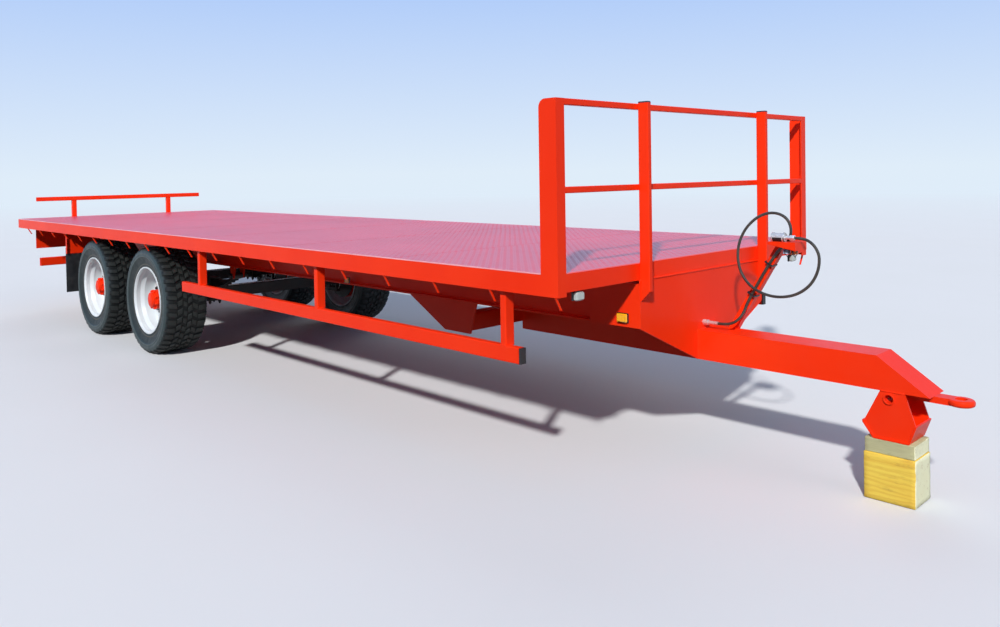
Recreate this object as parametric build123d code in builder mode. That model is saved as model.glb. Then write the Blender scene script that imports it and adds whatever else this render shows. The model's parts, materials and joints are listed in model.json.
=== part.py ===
from build123d import *
import os
from math import cos, pi, radians, sin, tan

# Flatbed trailer with two axles, in millimetres.
# +X is forward to the tow eye, +Y is left, +Z is up. The origin is on the ground, below the middle of the box.

# Deck and its frame of channels
deck_length = 8615.0
deck_width = 2440.0
tyre_room = 38.0
deck_plate = 5.0
rail_depth = 100.0
rail_flange = 55.0
rail_web = 7.0
front_beam_depth = 80.0
cross_count = 13
cross_flange = 50.0
cross_web = 6.0
beam_depth = 225.0
beam_flange = 100.0
beam_flange_thk = 10.0
beam_web = 8.0
beam_room = 193.0
beam_rear_gap = 100.0

# Headboard
headboard_height = 800.0
post_depth = 106.0
post_flange = 58.0
post_corner = 40.0
head_rail = 30.0
head_rail_wall = 3.0
head_rail_corner = 4.0
mid_rail_height = 397.0
upright_inset = 21.0
upright_depth = 60.0
upright_width = 30.0
upright_rise = 3.0
upright_wall = 4.0
upright_corner = 5.0
upright_tail = 193.0
cap_thk = 7.0
cap_lip = 1.5
cap_taper = 20.0

# Bulkhead, drawbar and what carries it
bulkhead_plate = 6.0
gusset_length = 320.0
gusset_plate = 8.0
drawbar_width = 180.0
drawbar_depth = 160.0
drawbar_drop = 408.0
drawbar_wall = 8.0
drawbar_reach = 957.0
nose_length = 233.0
drawbar_tail = 1330.0
hanger_drop = 190.0
hanger_plate = 12.0
hanger_top_front = 1210.0
hanger_top_rear = 1857.0
hanger_low_front = 1270.0
hanger_low_rear = 1505.0
tail_tube = 110.0
tail_tube_wall = 8.0
tail_tube_corner = 12.0

# Tow eye
eye_overhang = 100.0
eye_radius = 56.0
eye_bore = 50.0
eye_thk = 30.0
eye_round = 12.0
shank_width = 72.0
shank_length = 230.0

# Skid foot, and the timber block and plank below it
skid_past_knee = 57.0
skid_height = 219.0
skid_top_rear = -41.0
skid_top_front = 68.0
skid_rear = -113.0
skid_front = 114.0
skid_low_rear = -68.0
skid_low_front = 84.0
skid_rear_height = 62.0
skid_front_height = 82.0
skid_plate = 10.0
shoe_plate = 8.0
shoe_overhang = 5.0
skid_tube = 50.0
skid_tube_wall = 6.0
skid_tube_drop = 34.0
block_length = 232.0
block_width = 194.0
plank_length = 224.0
plank_width = 188.0
plank_thk = 68.0

# Wheels and axles
tyre_diameter = 940.0
tyre_width = 375.0
tyre_inset = 40.0
tyre_shoulder = 42.0
tyre_crown = 8.0
tyre_crown_in = 60.0
tyre_edge_in = 18.0
tyre_bulge = 0.457
tyre_lip = 8.0
tyre_side_draft = 4.0
tyre_wall = 24.0
tyre_tread = 38.0
tyre_bead = 38.0
axle_reach = 4905.0
axle_spacing = 1331.0
rim_flange_diameter = 590.0
rim_lip = 30.0
rim_seat_drop = 12.0
rim_seat_width = 50.0
rim_well_taper = 30.0
rim_edge = 10.0
rim_edge_slope = 14.0
rim_wall = 9.0
rim_width = 335.0
rim_disc_thk = 14.0
rim_disc_out = 22.0
rim_step = 60.0
rim_step_out = 20.0
rim_step_in = 30.0
rim_fit = 1.0
rim_hole = 54.0
rim_hole_inset = 65.0
rim_hole_count = 10
hub_diameter = 172.0
hub_flange_diameter = 345.0
hub_flange_thk = 18.0
hub_out = 132.0
hub_cap_depth = 30.0
hub_cap_edge = 16.0
hub_cap_draft = 4.0
hub_cap_wall = 14.0
spindle_gap = 6.0
hub_bore = 90.0
drum_diameter = 410.0
drum_depth = 130.0
brake_gap = 6.0
spindle_fit = 0.3
axle_square = 100.0
back_plate = 8.0
seat_pad = 10.0

# Brake gear behind each wheel
cam_radius = 16.0
cam_offset = 130.0
cam_length = 110.0
lever_thk = 12.0
lever_width = 44.0
lever_inset = 60.0
lever_drop = 130.0
ram_radius = 24.0
ram_length = 130.0
anchor_thk = 20.0
anchor_width = 50.0

# Suspension
spring_width = 76.0
spring_leaf = 12.0
spring_leaves = 6
rocker_length = 269.0
leaf_step = 0.13
spring_rise = 58.0
spring_eye = 25.0
pin_radius = 12.0
pin_fit = 0.3
bracket_plate = 10.0
clamp_length = 150.0
clamp_plate = 16.0
clamp_bar = 16.0
clamp_gap = 1.5
clamp_margin = 8.0
side_gap = 1.0
rocker_rise = 26.0
rocker_pin = 18.0
rocker_hanger = 60.0
pin_drop = 81.0

# Side guards
guard_depth = 80.0
guard_thk = 40.0
guard_drop = 375.0
guard_inset = 30.0
guard_front = 285.0
guard_room = 345.0
guard_leg_x = 40.0
guard_leg_y = 60.0
guard_leg_first = 390.0
guard_leg_last = 315.0
guard_leg_count = 3
guard_cap = 12.0
guard_wall = 4.0
guard_corner = 6.0

# Rear end
bale_rail = 50.0
bale_rail_wall = 4.0
bale_rail_corner = 6.0
bale_rail_inset = 210.0
bale_rail_height = 250.0
bale_post_inset = 630.0
bumper_depth = 98.0
bumper_thk = 50.0
bumper_drop = 478.0
bumper_inset = 205.0
bumper_leg = 60.0
bumper_wall = 5.0
bumper_corner = 8.0
valance_plate = 6.0
valance_inset = 158.0
valance_depth = 255.0
flap_room = 312.0
flap_width = 345.0
flap_thk = 8.0
flap_low = 735.0
flap_plate_low = 325.0
flap_lap = 60.0
flap_bracket = 5.0
flap_bracket_lip = 28.0

# Rope hooks below the side rails
hook_bar = 12.0
hook_first = 22.0
hook_pitch = 433.0
hook_last = 300.0
hook_drop = 62.0
hook_slant = 36.0

# Lamps
front_lamp = (36.0, 60.0, 50.0)
front_lamp_inset = 160.0
side_lamp = (66.0, 20.0, 46.0)
side_lamp_reach = 100.0
rear_lamp = (42.0, 230.0, 110.0)

# Hose, its stand and its coupling
hose_diameter = 15.0
hose_gap = 1.0
hose_hole = 38.0
stand_bar = 40.0
stand_reach = 140.0
stand_lean = 30.8
stand_side = 60.0
bracket_rise = 90.0
bracket_length = 150.0
bracket_lap = 14.0
bracket_thk = 8.0
bracket_drop = 42.0
bracket_toe = 14.0
socket_diameter = 34.0
socket_length = 40.0
socket_count = 2
socket_edge = 25.5
socket_pitch = 40.8
coupling_diameter = 42.0
coupling_length = 120.0
coupling_body = 72.0
fitting_diameter = 30.0
fitting_length = 30.0
ferrule_diameter = 20.0
clip_heights = (205.0, 375.0)
clip_width = 10.0
clip_thk = 2.5
clip_gap = 0.3

# Places worked out from the sizes
spring_span = axle_spacing - rocker_length
half_span = spring_span / 2
pack_thk = spring_leaves * spring_leaf
arc_radius = (half_span**2 + spring_rise**2) / (2 * spring_rise)
swing = half_span / arc_radius
eye_swing = arc_radius + spring_leaf - spring_eye
pin_rise = pack_thk + arc_radius - eye_swing * cos(swing)
axle_z = tyre_diameter / 2
frame_depth = rail_depth + deck_plate
over_springs = axle_square / 2 + seat_pad + pin_rise + pin_drop + beam_depth + frame_depth
over_tyres = tyre_diameter / 2 + tyre_room + frame_depth
deck_height = axle_z + max(over_springs, over_tyres)
eye_reach = drawbar_reach + nose_length + eye_overhang
skid_reach = drawbar_reach + skid_past_knee
overall_length = bale_rail + deck_length + eye_reach + eye_radius
x_front = overall_length / 2 - eye_reach - eye_radius
x_rear = x_front - deck_length
half_width = deck_width / 2
z_frame = deck_height - deck_plate
z_rail_low = z_frame - rail_depth
z_beam_low = z_rail_low - beam_depth
wheel_y = half_width - tyre_inset - tyre_width / 2
box_y = wheel_y - tyre_width / 2 - beam_room
beam_y = box_y - beam_flange / 2
beam_tail = x_rear + beam_rear_gap
z_bar_top = deck_height - drawbar_drop
z_bar_low = z_bar_top - drawbar_depth
z_eye = z_bar_low - eye_thk / 2
x_eye = x_front + eye_reach
z_pin = z_beam_low - pin_drop
z_seat = z_pin - pin_rise
z_shoe = z_bar_low - skid_height - shoe_plate
rail_inner = half_width - rail_flange
upright_y = box_y - upright_inset
sides = {"left": 1, "right": -1}
axles = {"front": x_front - axle_reach, "rear": x_front - axle_reach - axle_spacing}
guard_rear = axle_reach - tyre_diameter / 2 - guard_room
x_flap = axles["rear"] - tyre_diameter / 2 - flap_room

os.makedirs("parts", exist_ok=True)


def save(piece, name):
    piece.part.label = name
    export_step(piece.part, f"parts/{name}.step")


def channel(web_at, low, depth, flange, web, way):
    """Channel section: an upright web at web_at, flanges reaching to the side that way gives."""
    tip = web_at + way * flange
    inner = web_at + way * web
    top = low + depth
    points = [(web_at, low), (tip, low), (tip, low + web), (inner, low + web)]
    points += [(inner, top - web), (tip, top - web), (tip, top), (web_at, top)]
    Polygon(*(points if way > 0 else points[::-1]), align=None)


def rect(low_corner, high_corner, mode=Mode.ADD):
    """Rectangle between two corners of the open sketch."""
    (a, b), (c, d) = low_corner, high_corner
    with Locations(((a + c) / 2, (b + d) / 2)):
        Rectangle(c - a, d - b, mode=mode)


def block(low, high):
    """Plain block between two corners, in the open part."""
    size = [h - l for l, h in zip(low, high)]
    with Locations(tuple((l + h) / 2 for l, h in zip(low, high))):
        Box(*size)


def tube(plane, size, wall, corner, length):
    """Box tube with rounded corners, from a plane through the middle of its end."""
    width, depth = size
    with BuildSketch(plane) as section:
        RectangleRounded(width, depth, corner)
        RectangleRounded(width - 2 * wall, depth - 2 * wall, corner - wall / 2, mode=Mode.SUBTRACT)
    extrude(section.sketch, amount=length)


# Side rails: channels with the web outside, closed by a plate at the rear end
with BuildPart() as side_rails:
    for way in sides.values():
        with BuildSketch(Plane.YZ.offset(x_rear)):
            channel(way * half_width, z_rail_low, rail_depth, rail_flange, rail_web, -way)
        extrude(amount=deck_length - post_depth)
        with BuildSketch(Plane.YZ.offset(x_rear)):
            edge = sorted((way * half_width, way * rail_inner))
            rect((edge[0], z_rail_low), (edge[1], z_frame))
        extrude(amount=rail_web)
save(side_rails, "side_rails")

# Front beam with its sill between the corner posts, and rear beam between the side rails
with BuildPart() as front_beam:
    with BuildSketch(Plane.XZ.offset(-(half_width - post_flange))):
        channel(x_front, z_frame - front_beam_depth, front_beam_depth, rail_flange, rail_web, -1)
        rect((x_front - head_rail, z_frame), (x_front, deck_height))
    extrude(amount=deck_width - 2 * post_flange)
save(front_beam, "front_beam")

with BuildPart() as rear_beam:
    with BuildSketch(Plane.XZ.offset(-rail_inner)):
        channel(x_rear, z_rail_low, rail_depth + deck_plate, rail_flange, rail_web, 1)
    extrude(amount=2 * rail_inner)
save(rear_beam, "rear_beam")

# Cross members: a row of channels on the main beams
cross_span = deck_length - 2 * rail_flange
cross_pitch = cross_span / (cross_count + 1)
with BuildPart() as cross_members:
    for i in range(cross_count):
        at = x_rear + rail_flange + (i + 1) * cross_pitch
        with BuildSketch(Plane.XZ.offset(-rail_inner)):
            channel(at, z_rail_low, rail_depth, cross_flange, cross_web, 1)
        extrude(amount=2 * rail_inner)
save(cross_members, "cross_members")

# Main beams: a pair of I-sections below the cross members
with BuildPart() as main_beams:
    for way in sides.values():
        with BuildSketch(Plane.YZ.offset(beam_tail)):
            y = way * beam_y
            half = beam_flange / 2
            rect((y - half, z_beam_low), (y + half, z_rail_low))
            for face, out in ((y - half, -1), (y + half, 1)):
                web_face = y + out * beam_web / 2
                edge = sorted((face, web_face))
                low = (edge[0], z_beam_low + beam_flange_thk)
                rect(low, (edge[1], z_rail_low - beam_flange_thk), Mode.SUBTRACT)
        extrude(amount=x_front - beam_tail)
save(main_beams, "main_beams")

# Deck plate, notched round the corner posts, from the front sill to the rear beam
with BuildPart() as deck:
    with BuildSketch(Plane.XY.offset(z_frame)):
        rect((x_rear + rail_flange, -half_width), (x_front - head_rail, half_width))
        for way in sides.values():
            edge = sorted((way * half_width, way * (half_width - rail_web)))
            rect((x_front - post_depth, edge[0]), (x_front - head_rail, edge[1]), Mode.SUBTRACT)
            corner = sorted((way * (half_width - rail_web), way * (half_width - post_flange)))
            rect((x_front - head_rail, corner[0]), (x_front - rail_web, corner[1]))
    extrude(amount=deck_plate)
    with BuildSketch(Plane.XY.offset(z_frame)):
        for way in sides.values():
            edge = sorted((way * half_width, way * rail_inner))
            rect((x_rear, edge[0]), (x_rear + rail_flange, edge[1]))
    extrude(amount=deck_plate)
save(deck, "deck_plate")

# Corner posts: upright angles, a wide web at the side and a flange in front, the rear top corner rounded
with BuildPart() as posts:
    for way in sides.values():
        outer = way * half_width
        with BuildSketch(Plane.XY.offset(z_rail_low)):
            web = sorted((outer, outer - way * rail_web))
            rect((x_front - post_depth, web[0]), (x_front, web[1]))
            flange = sorted((outer, outer - way * post_flange))
            rect((x_front - rail_web, flange[0]), (x_front, flange[1]))
        extrude(amount=rail_depth + deck_plate + headboard_height)
    with BuildSketch(Plane.XZ):
        z_top = deck_height + headboard_height
        rear = x_front - post_depth
        rect((rear, z_top - post_corner), (rear + post_corner, z_top))
        with Locations((rear + post_corner, z_top - post_corner)):
            Circle(post_corner, mode=Mode.SUBTRACT)
    extrude(amount=half_width, both=True, mode=Mode.SUBTRACT)
save(posts, "corner_posts")

# Headboard rails between the posts, flush with their front
with BuildPart() as head_rails:
    span = half_width - post_flange
    for z_top in (headboard_height, mid_rail_height):
        middle = (x_front - head_rail / 2, span, deck_height + z_top - head_rail / 2)
        end = Plane(middle, x_dir=(1, 0, 0), z_dir=(0, -1, 0))
        tube(end, (head_rail, head_rail), head_rail_wall, head_rail_corner, 2 * span)
save(head_rails, "headboard_rails")

# Uprights in front of the beam, hollow above the deck, notched over the bulkhead plate and cut on a slant at the foot
z_upright = deck_height + headboard_height + upright_rise
z_bulkhead = z_frame - front_beam_depth
with BuildPart() as uprights:
    z_tail = deck_height - upright_tail
    lap = x_front + bulkhead_plate
    nose = x_front + upright_depth
    z_cut = z_tail + upright_depth - bulkhead_plate
    for way in sides.values():
        with BuildSketch(Plane.XZ.offset(-way * upright_y)):
            points = [(lap, z_tail), (nose, z_cut), (nose, z_upright)]
            points += [(x_front, z_upright), (x_front, z_bulkhead), (lap, z_bulkhead)]
            Polygon(*points, align=None)
        extrude(amount=upright_width / 2, both=True)
    fillet(uprights.edges().filter_by(lambda e: e.length > headboard_height), upright_corner)
    for way in sides.values():
        with BuildSketch(Plane.XY.offset(deck_height)):
            with Locations((x_front + upright_depth / 2, way * upright_y)):
                Rectangle(upright_depth - 2 * upright_wall, upright_width - 2 * upright_wall)
        extrude(amount=headboard_height + upright_rise, mode=Mode.SUBTRACT)
save(uprights, "uprights")

# Bulkhead: front plate that narrows down to the drawbar, with side plates on the main beams
with BuildPart() as bulkhead:
    with BuildSketch(Plane.YZ.offset(x_front)):
        half = drawbar_width / 2
        points = [(-box_y, z_bulkhead), (-box_y, z_beam_low), (-half, z_bar_low)]
        points += [(-half, z_bar_top), (half, z_bar_top), (half, z_bar_low)]
        points += [(box_y, z_beam_low), (box_y, z_bulkhead)]
        Polygon(*points, align=None)
    extrude(amount=bulkhead_plate)
save(bulkhead, "bulkhead_plate")

with BuildPart() as gussets:
    for way in sides.values():
        inner = way * (box_y - gusset_plate)
        edge = sorted((inner, way * box_y))
        with BuildSketch(Plane.XZ.offset(-edge[1])):
            rear = x_front - gusset_length
            low = z_beam_low + beam_flange_thk
            high = z_rail_low - beam_flange_thk
            rect((rear, low), (x_front, high))
        extrude(amount=gusset_plate)
save(gussets, "bulkhead_gussets")

# Drawbar: a box open at the rear, its nose sloping down to the tow eye
with BuildPart() as drawbar:
    tail = x_front - drawbar_tail
    knee = x_front + drawbar_reach
    nose = knee + nose_length
    slope = nose_length / drawbar_depth
    with BuildSketch(Plane.XZ):
        Polygon((tail, z_bar_low), (nose, z_bar_low), (knee, z_bar_top), (tail, z_bar_top), align=None)
    extrude(amount=drawbar_width / 2, both=True)
    with BuildSketch(Plane.XZ):
        low = z_bar_low + drawbar_wall
        high = z_bar_top - drawbar_wall
        skew = drawbar_wall * (1 + slope**2) ** 0.5
        points = [(tail, low), (nose - skew - drawbar_wall * slope, low)]
        points += [(knee - skew + drawbar_wall * slope, high), (tail, high)]
        Polygon(*points, align=None)
    extrude(amount=drawbar_width / 2 - drawbar_wall, both=True, mode=Mode.SUBTRACT)
save(drawbar, "drawbar")

# Hanger plates below the main beams, with the cross tube that holds the drawbar's tail
z_hanger = z_beam_low - hanger_drop
with BuildPart() as hangers:
    for way in sides.values():
        edge = sorted((way * box_y, way * (box_y - hanger_plate)))
        with BuildSketch(Plane.XZ.offset(-edge[1])):
            points = [(x_front - hanger_top_rear, z_beam_low), (x_front - hanger_low_rear, z_hanger)]
            points += [(x_front - hanger_low_front, z_hanger), (x_front - hanger_top_front, z_beam_low)]
            Polygon(*points, align=None)
        extrude(amount=hanger_plate)
save(hangers, "drawbar_hangers")

with BuildPart() as cross_tube:
    reach = box_y - hanger_plate
    x_tube = x_front - drawbar_tail
    middle = (x_tube - tail_tube / 2, reach, z_hanger + tail_tube / 2)
    end = Plane(middle, x_dir=(1, 0, 0), z_dir=(0, -1, 0))
    tube(end, (tail_tube, tail_tube), tail_tube_wall, tail_tube_corner, 2 * reach)
save(cross_tube, "drawbar_cross_tube")

# Tow eye: a ring on a flat shank below the nose
with BuildPart() as tow_eye:
    with BuildSketch(Plane.XY.offset(z_eye - eye_thk / 2)):
        with Locations((x_eye, 0)):
            Circle(eye_radius)
        rect((x_eye - shank_length, -shank_width / 2), (x_eye, shank_width / 2))
    extrude(amount=eye_thk)
    rims = tow_eye.edges().filter_by(GeomType.CIRCLE)
    fillet(rims, eye_round)
    with BuildSketch(Plane.XY.offset(z_eye - eye_thk / 2)):
        with Locations((x_eye, 0)):
            Circle(eye_bore / 2)
    extrude(amount=eye_thk, mode=Mode.SUBTRACT)
save(tow_eye, "tow_eye")

# Skid foot: two cheeks on the drawbar's sides, a bent shoe round them and a tube across
x_skid = x_front + skid_reach
z_cheek = z_bar_low - skid_height
shoe_line = [
    (x_skid + skid_rear, z_cheek + skid_rear_height + shoe_plate),
    (x_skid + skid_rear, z_cheek + skid_rear_height),
    (x_skid + skid_low_rear, z_cheek),
    (x_skid + skid_low_front, z_cheek),
    (x_skid + skid_front, z_cheek + skid_front_height),
]
z_tube = z_bar_low - skid_tube_drop
with BuildPart() as skid_cheeks:
    for way in sides.values():
        edge = sorted((way * drawbar_width / 2, way * (drawbar_width / 2 - skid_plate)))
        with BuildSketch(Plane.XZ.offset(-edge[1])):
            top = [(x_skid + skid_top_front, z_bar_low), (x_skid + skid_top_rear, z_bar_low)]
            Polygon(*shoe_line, *top, align=None)
            with Locations((x_skid, z_tube)):
                Circle(skid_tube / 2, mode=Mode.SUBTRACT)
        extrude(amount=skid_plate)
save(skid_cheeks, "skid_cheeks")

with BuildPart() as skid_shoe:
    with BuildSketch(Plane.XZ):
        with BuildLine():
            path = Polyline(*shoe_line)
            offset(path, amount=shoe_plate, side=Side.RIGHT)
        make_face()
    extrude(amount=drawbar_width / 2 + shoe_overhang, both=True)
save(skid_shoe, "skid_shoe")

with BuildPart() as skid_bar:
    with BuildSketch(Plane.XZ):
        with Locations((x_skid, z_tube)):
            Circle(skid_tube / 2)
            Circle(skid_tube / 2 - skid_tube_wall, mode=Mode.SUBTRACT)
    extrude(amount=drawbar_width / 2 + shoe_overhang, both=True)
save(skid_bar, "skid_tube")

# Timber below the foot: a block on the ground with a plank on it
z_plank = z_shoe - plank_thk
with BuildPart() as timber_block:
    half = block_length / 2
    block((x_skid - half, -block_width / 2, 0), (x_skid + half, block_width / 2, z_plank))
save(timber_block, "timber_block")

with BuildPart() as timber_plank:
    half = plank_length / 2
    block((x_skid - half, -plank_width / 2, z_plank), (x_skid + half, plank_width / 2, z_shoe))
save(timber_plank, "timber_plank")

# Side guards: a box rail with a black cap at its front, on three legs
y_guard = half_width - guard_inset
z_guard = deck_height - guard_drop
with BuildPart() as guards:
    for way in sides.values():
        middle = (way * (y_guard - guard_thk / 2), z_guard - guard_depth / 2)
        end = Plane((x_front - guard_rear, *middle), x_dir=(0, 1, 0), z_dir=(1, 0, 0))
        tube(end, (guard_thk, guard_depth), guard_wall, guard_corner, guard_rear - guard_front)
save(guards, "guard_rails")

guard_leg_pitch = (guard_rear - guard_leg_first - guard_leg_last) / (guard_leg_count - 1)
with BuildPart() as guard_legs:
    for way in sides.values():
        y = way * (y_guard - guard_leg_y / 2)
        for i in range(guard_leg_count):
            at = x_front - guard_leg_first - i * guard_leg_pitch
            foot = Plane((at, y, z_guard), x_dir=(1, 0, 0), z_dir=(0, 0, 1))
            tube(foot, (guard_leg_x, guard_leg_y), guard_wall, guard_corner, z_rail_low - z_guard)
save(guard_legs, "guard_legs")

# Black caps in the open ends of the guards and on top of the uprights
with BuildPart() as end_caps:
    for way in sides.values():
        with BuildSketch(Plane.XY.offset(z_upright)):
            with Locations((x_front + upright_depth / 2, way * upright_y)):
                Rectangle(upright_depth - cap_lip, upright_width - cap_lip)
        extrude(amount=cap_thk, taper=cap_taper)
        edge = sorted((way * y_guard, way * (y_guard - guard_thk)))
        low = (x_front - guard_front, edge[0] + cap_lip, z_guard - guard_depth + cap_lip)
        high = (x_front - guard_front + guard_cap, edge[1] - cap_lip, z_guard - cap_lip)
        block(low, high)
save(end_caps, "end_caps")

# Rear bale rail on two posts, welded to the back of the rear beam
z_bale = deck_height + bale_rail_height
with BuildPart() as bale_bar:
    half = half_width - bale_rail_inset
    middle = (x_rear - bale_rail / 2, half, z_bale - bale_rail / 2)
    end = Plane(middle, x_dir=(1, 0, 0), z_dir=(0, -1, 0))
    tube(end, (bale_rail, bale_rail), bale_rail_wall, bale_rail_corner, 2 * half)
save(bale_bar, "bale_rail")

with BuildPart() as bale_posts:
    for way in sides.values():
        y = way * (half_width - bale_post_inset)
        foot = Plane((x_rear - bale_rail / 2, y, z_rail_low), x_dir=(1, 0, 0), z_dir=(0, 0, 1))
        tube(foot, (bale_rail, bale_rail), bale_rail_wall, bale_rail_corner, z_bale - bale_rail - z_rail_low)
save(bale_posts, "bale_posts")

# Valance behind the main beams, with the rear lamps and the bumper below
x_valance = beam_tail - valance_plate
with BuildPart() as valance:
    half = half_width - valance_inset
    block((x_valance, -half, z_rail_low - valance_depth), (beam_tail, half, z_rail_low))
save(valance, "rear_valance")

z_bumper = deck_height - bumper_drop
with BuildPart() as bumper:
    half = half_width - bumper_inset
    middle = (beam_tail - bumper_thk / 2, half, z_bumper - bumper_depth / 2)
    end = Plane(middle, x_dir=(1, 0, 0), z_dir=(0, -1, 0))
    tube(end, (bumper_thk, bumper_depth), bumper_wall, bumper_corner, 2 * half)
save(bumper, "rear_bumper")

with BuildPart() as bumper_legs:
    for way in sides.values():
        foot = (beam_tail + bumper_leg / 2, way * beam_y, z_bumper - bumper_depth)
        end = Plane(foot, x_dir=(1, 0, 0), z_dir=(0, 0, 1))
        tube(end, (bumper_leg, bumper_leg), bumper_wall, bumper_corner, z_beam_low - z_bumper + bumper_depth)
save(bumper_legs, "bumper_legs")

with BuildPart() as rear_lamps:
    depth, width, height = rear_lamp
    for way in sides.values():
        y = way * (half_width - valance_inset - width / 2 - depth)
        z = z_rail_low - valance_depth / 2
        block((x_valance - depth, y - width / 2, z - height / 2), (x_valance, y + width / 2, z + height / 2))
save(rear_lamps, "rear_lamps")

# Mudflaps behind the rear wheels
with BuildPart() as flap_brackets:
    for way in sides.values():
        outer = half_width - tyre_inset
        edge = sorted((way * outer, way * (outer - flap_width)))
        block((x_flap, edge[0], deck_height - flap_plate_low), (x_flap + flap_bracket, edge[1], z_rail_low))
        lip = sorted((way * outer, way * (outer - flap_bracket)))
        block((x_flap, lip[0], deck_height - flap_plate_low), (x_flap + flap_bracket_lip, lip[1], z_rail_low))
save(flap_brackets, "flap_brackets")

with BuildPart() as mudflaps:
    for way in sides.values():
        outer = half_width - tyre_inset
        edge = sorted((way * outer, way * (outer - flap_width)))
        top = deck_height - flap_plate_low + flap_lap
        block((x_flap - flap_thk, edge[0], deck_height - flap_low), (x_flap, edge[1], top))
save(mudflaps, "mudflaps")

# Rope hooks: round bars that slant inwards from the lower edge of each side, the first on the corner post
with BuildPart() as hooks:
    hook_length = (hook_drop**2 + hook_slant**2) ** 0.5
    hook_seat = hook_bar * hook_length / hook_drop
    hook_count = int((deck_length - hook_first - hook_last) / hook_pitch) + 1
    for way in sides.values():
        for i in range(hook_count):
            at = x_front - hook_first - i * hook_pitch
            with BuildSketch(Plane.XY.offset(z_rail_low)):
                with Locations((at, way * (half_width - hook_seat / 2))):
                    Ellipse(hook_bar / 2, hook_seat / 2)
            extrude(amount=hook_length, dir=(0, -way * hook_slant, -hook_drop))
save(hooks, "rope_hooks")

# Lamps at the front: white ones below the front beam, amber ones on the bulkhead's sides
with BuildPart() as front_lamps:
    depth, width, height = front_lamp
    for way in sides.values():
        y = way * (half_width - front_lamp_inset)
        z = z_bulkhead
        block((x_front - depth, y - width / 2, z - height), (x_front, y + width / 2, z))
save(front_lamps, "front_lamps")

with BuildPart() as side_lamps:
    length, depth, height = side_lamp
    for way in sides.values():
        edge = sorted((way * box_y, way * (box_y + depth)))
        x = x_front - side_lamp_reach
        z = z_beam_low + height
        block((x - length / 2, edge[0], z - height / 2), (x + length / 2, edge[1], z + height / 2))
save(side_lamps, "side_lamps")

# Wheels. Each section is drawn in the plane of the axle, as (radius, place out from the wheel's middle).
tyre_half = tyre_width / 2
rim_half = rim_width / 2
bead = rim_flange_diameter / 2
barrel = bead - rim_lip
tread_r = tyre_diameter / 2
bulge = bead + tyre_bulge * (tread_r - bead)
seat = bead - rim_seat_drop
seat_out = rim_half - rim_wall
tyre_profile = [
    (seat, -seat_out),
    (bead, -seat_out),
    (bead + tyre_lip, -rim_half - tyre_side_draft),
    (bulge, -tyre_half),
    (tread_r - tyre_shoulder, -tyre_half + tyre_side_draft),
    (tread_r - tyre_crown, -tyre_half + tyre_edge_in),
    (tread_r, -tyre_half + tyre_crown_in),
]
tyre_inside = [
    (seat, seat_out - tyre_bead),
    (bulge, tyre_half - tyre_wall),
    (tread_r - tyre_tread, tyre_half - tyre_crown_in),
]
tyre_profile += [(r, -a) for r, a in reversed(tyre_profile)]
tyre_profile += tyre_inside + [(r, -a) for r, a in reversed(tyre_inside)]
disc_in = rim_disc_out - rim_disc_thk
rim_bore = hub_diameter / 2 + rim_fit
well = rim_half - rim_seat_width - rim_well_taper
rim_side = [
    (barrel - rim_wall, well),
    (seat - rim_wall, rim_half - rim_seat_width),
    (seat - rim_wall, rim_half - rim_edge_slope),
    (bead - rim_edge, rim_half),
    (bead, rim_half),
    (bead, seat_out),
    (seat, seat_out),
    (seat, rim_half - rim_seat_width),
    (barrel, well),
]
rim_profile = [(r, -a) for r, a in reversed(rim_side)]
rim_profile += [
    (barrel - rim_wall, disc_in - rim_step_in),
    (barrel - rim_step, disc_in),
    (rim_bore, disc_in),
    (rim_bore, rim_disc_out),
    (barrel - rim_step, rim_disc_out),
    (barrel - rim_wall, rim_disc_out - rim_step_out),
]
rim_profile += rim_side
hub_inner = hub_bore / 2 + spindle_fit
hub_r = hub_diameter / 2
hub_profile = [
    (hub_inner, disc_in - drum_depth),
    (drum_diameter / 2, disc_in - drum_depth),
    (drum_diameter / 2, disc_in - hub_flange_thk),
    (hub_flange_diameter / 2, disc_in - hub_flange_thk),
    (hub_flange_diameter / 2, disc_in),
    (hub_r, disc_in),
    (hub_r, hub_out - hub_cap_depth),
    (hub_r - hub_cap_edge, hub_out - hub_cap_depth),
    (hub_r - hub_cap_edge - hub_cap_draft, hub_out),
    (0, hub_out),
    (0, hub_out - hub_cap_wall),
    (hub_inner, hub_out - hub_cap_wall),
]


def turn(profile, x, way):
    """Ring of the given section round a wheel's axle."""
    with BuildSketch(Plane.XY.offset(axle_z)) as section:
        points = [(x + r, way * (wheel_y + a)) for r, a in profile]
        Polygon(*points, align=None)
    revolve(section.sketch, axis=Axis((x, 0, axle_z), (0, 1, 0)))


for row, x in axles.items():
    for side, way in sides.items():
        with BuildPart() as tyre:
            turn(tyre_profile, x, way)
        save(tyre, f"tyre_{row}_{side}")
        with BuildPart() as rim:
            turn(rim_profile, x, way)
            with BuildSketch(Plane.XZ.offset(-way * wheel_y)):
                with Locations((x, axle_z)):
                    with PolarLocations(barrel - rim_hole_inset, rim_hole_count):
                        Circle(rim_hole / 2)
            extrude(amount=rim_half, both=True, mode=Mode.SUBTRACT)
        save(rim, f"rim_{row}_{side}")
        with BuildPart() as hub:
            turn(hub_profile, x, way)
        save(hub, f"hub_{row}_{side}")

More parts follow.
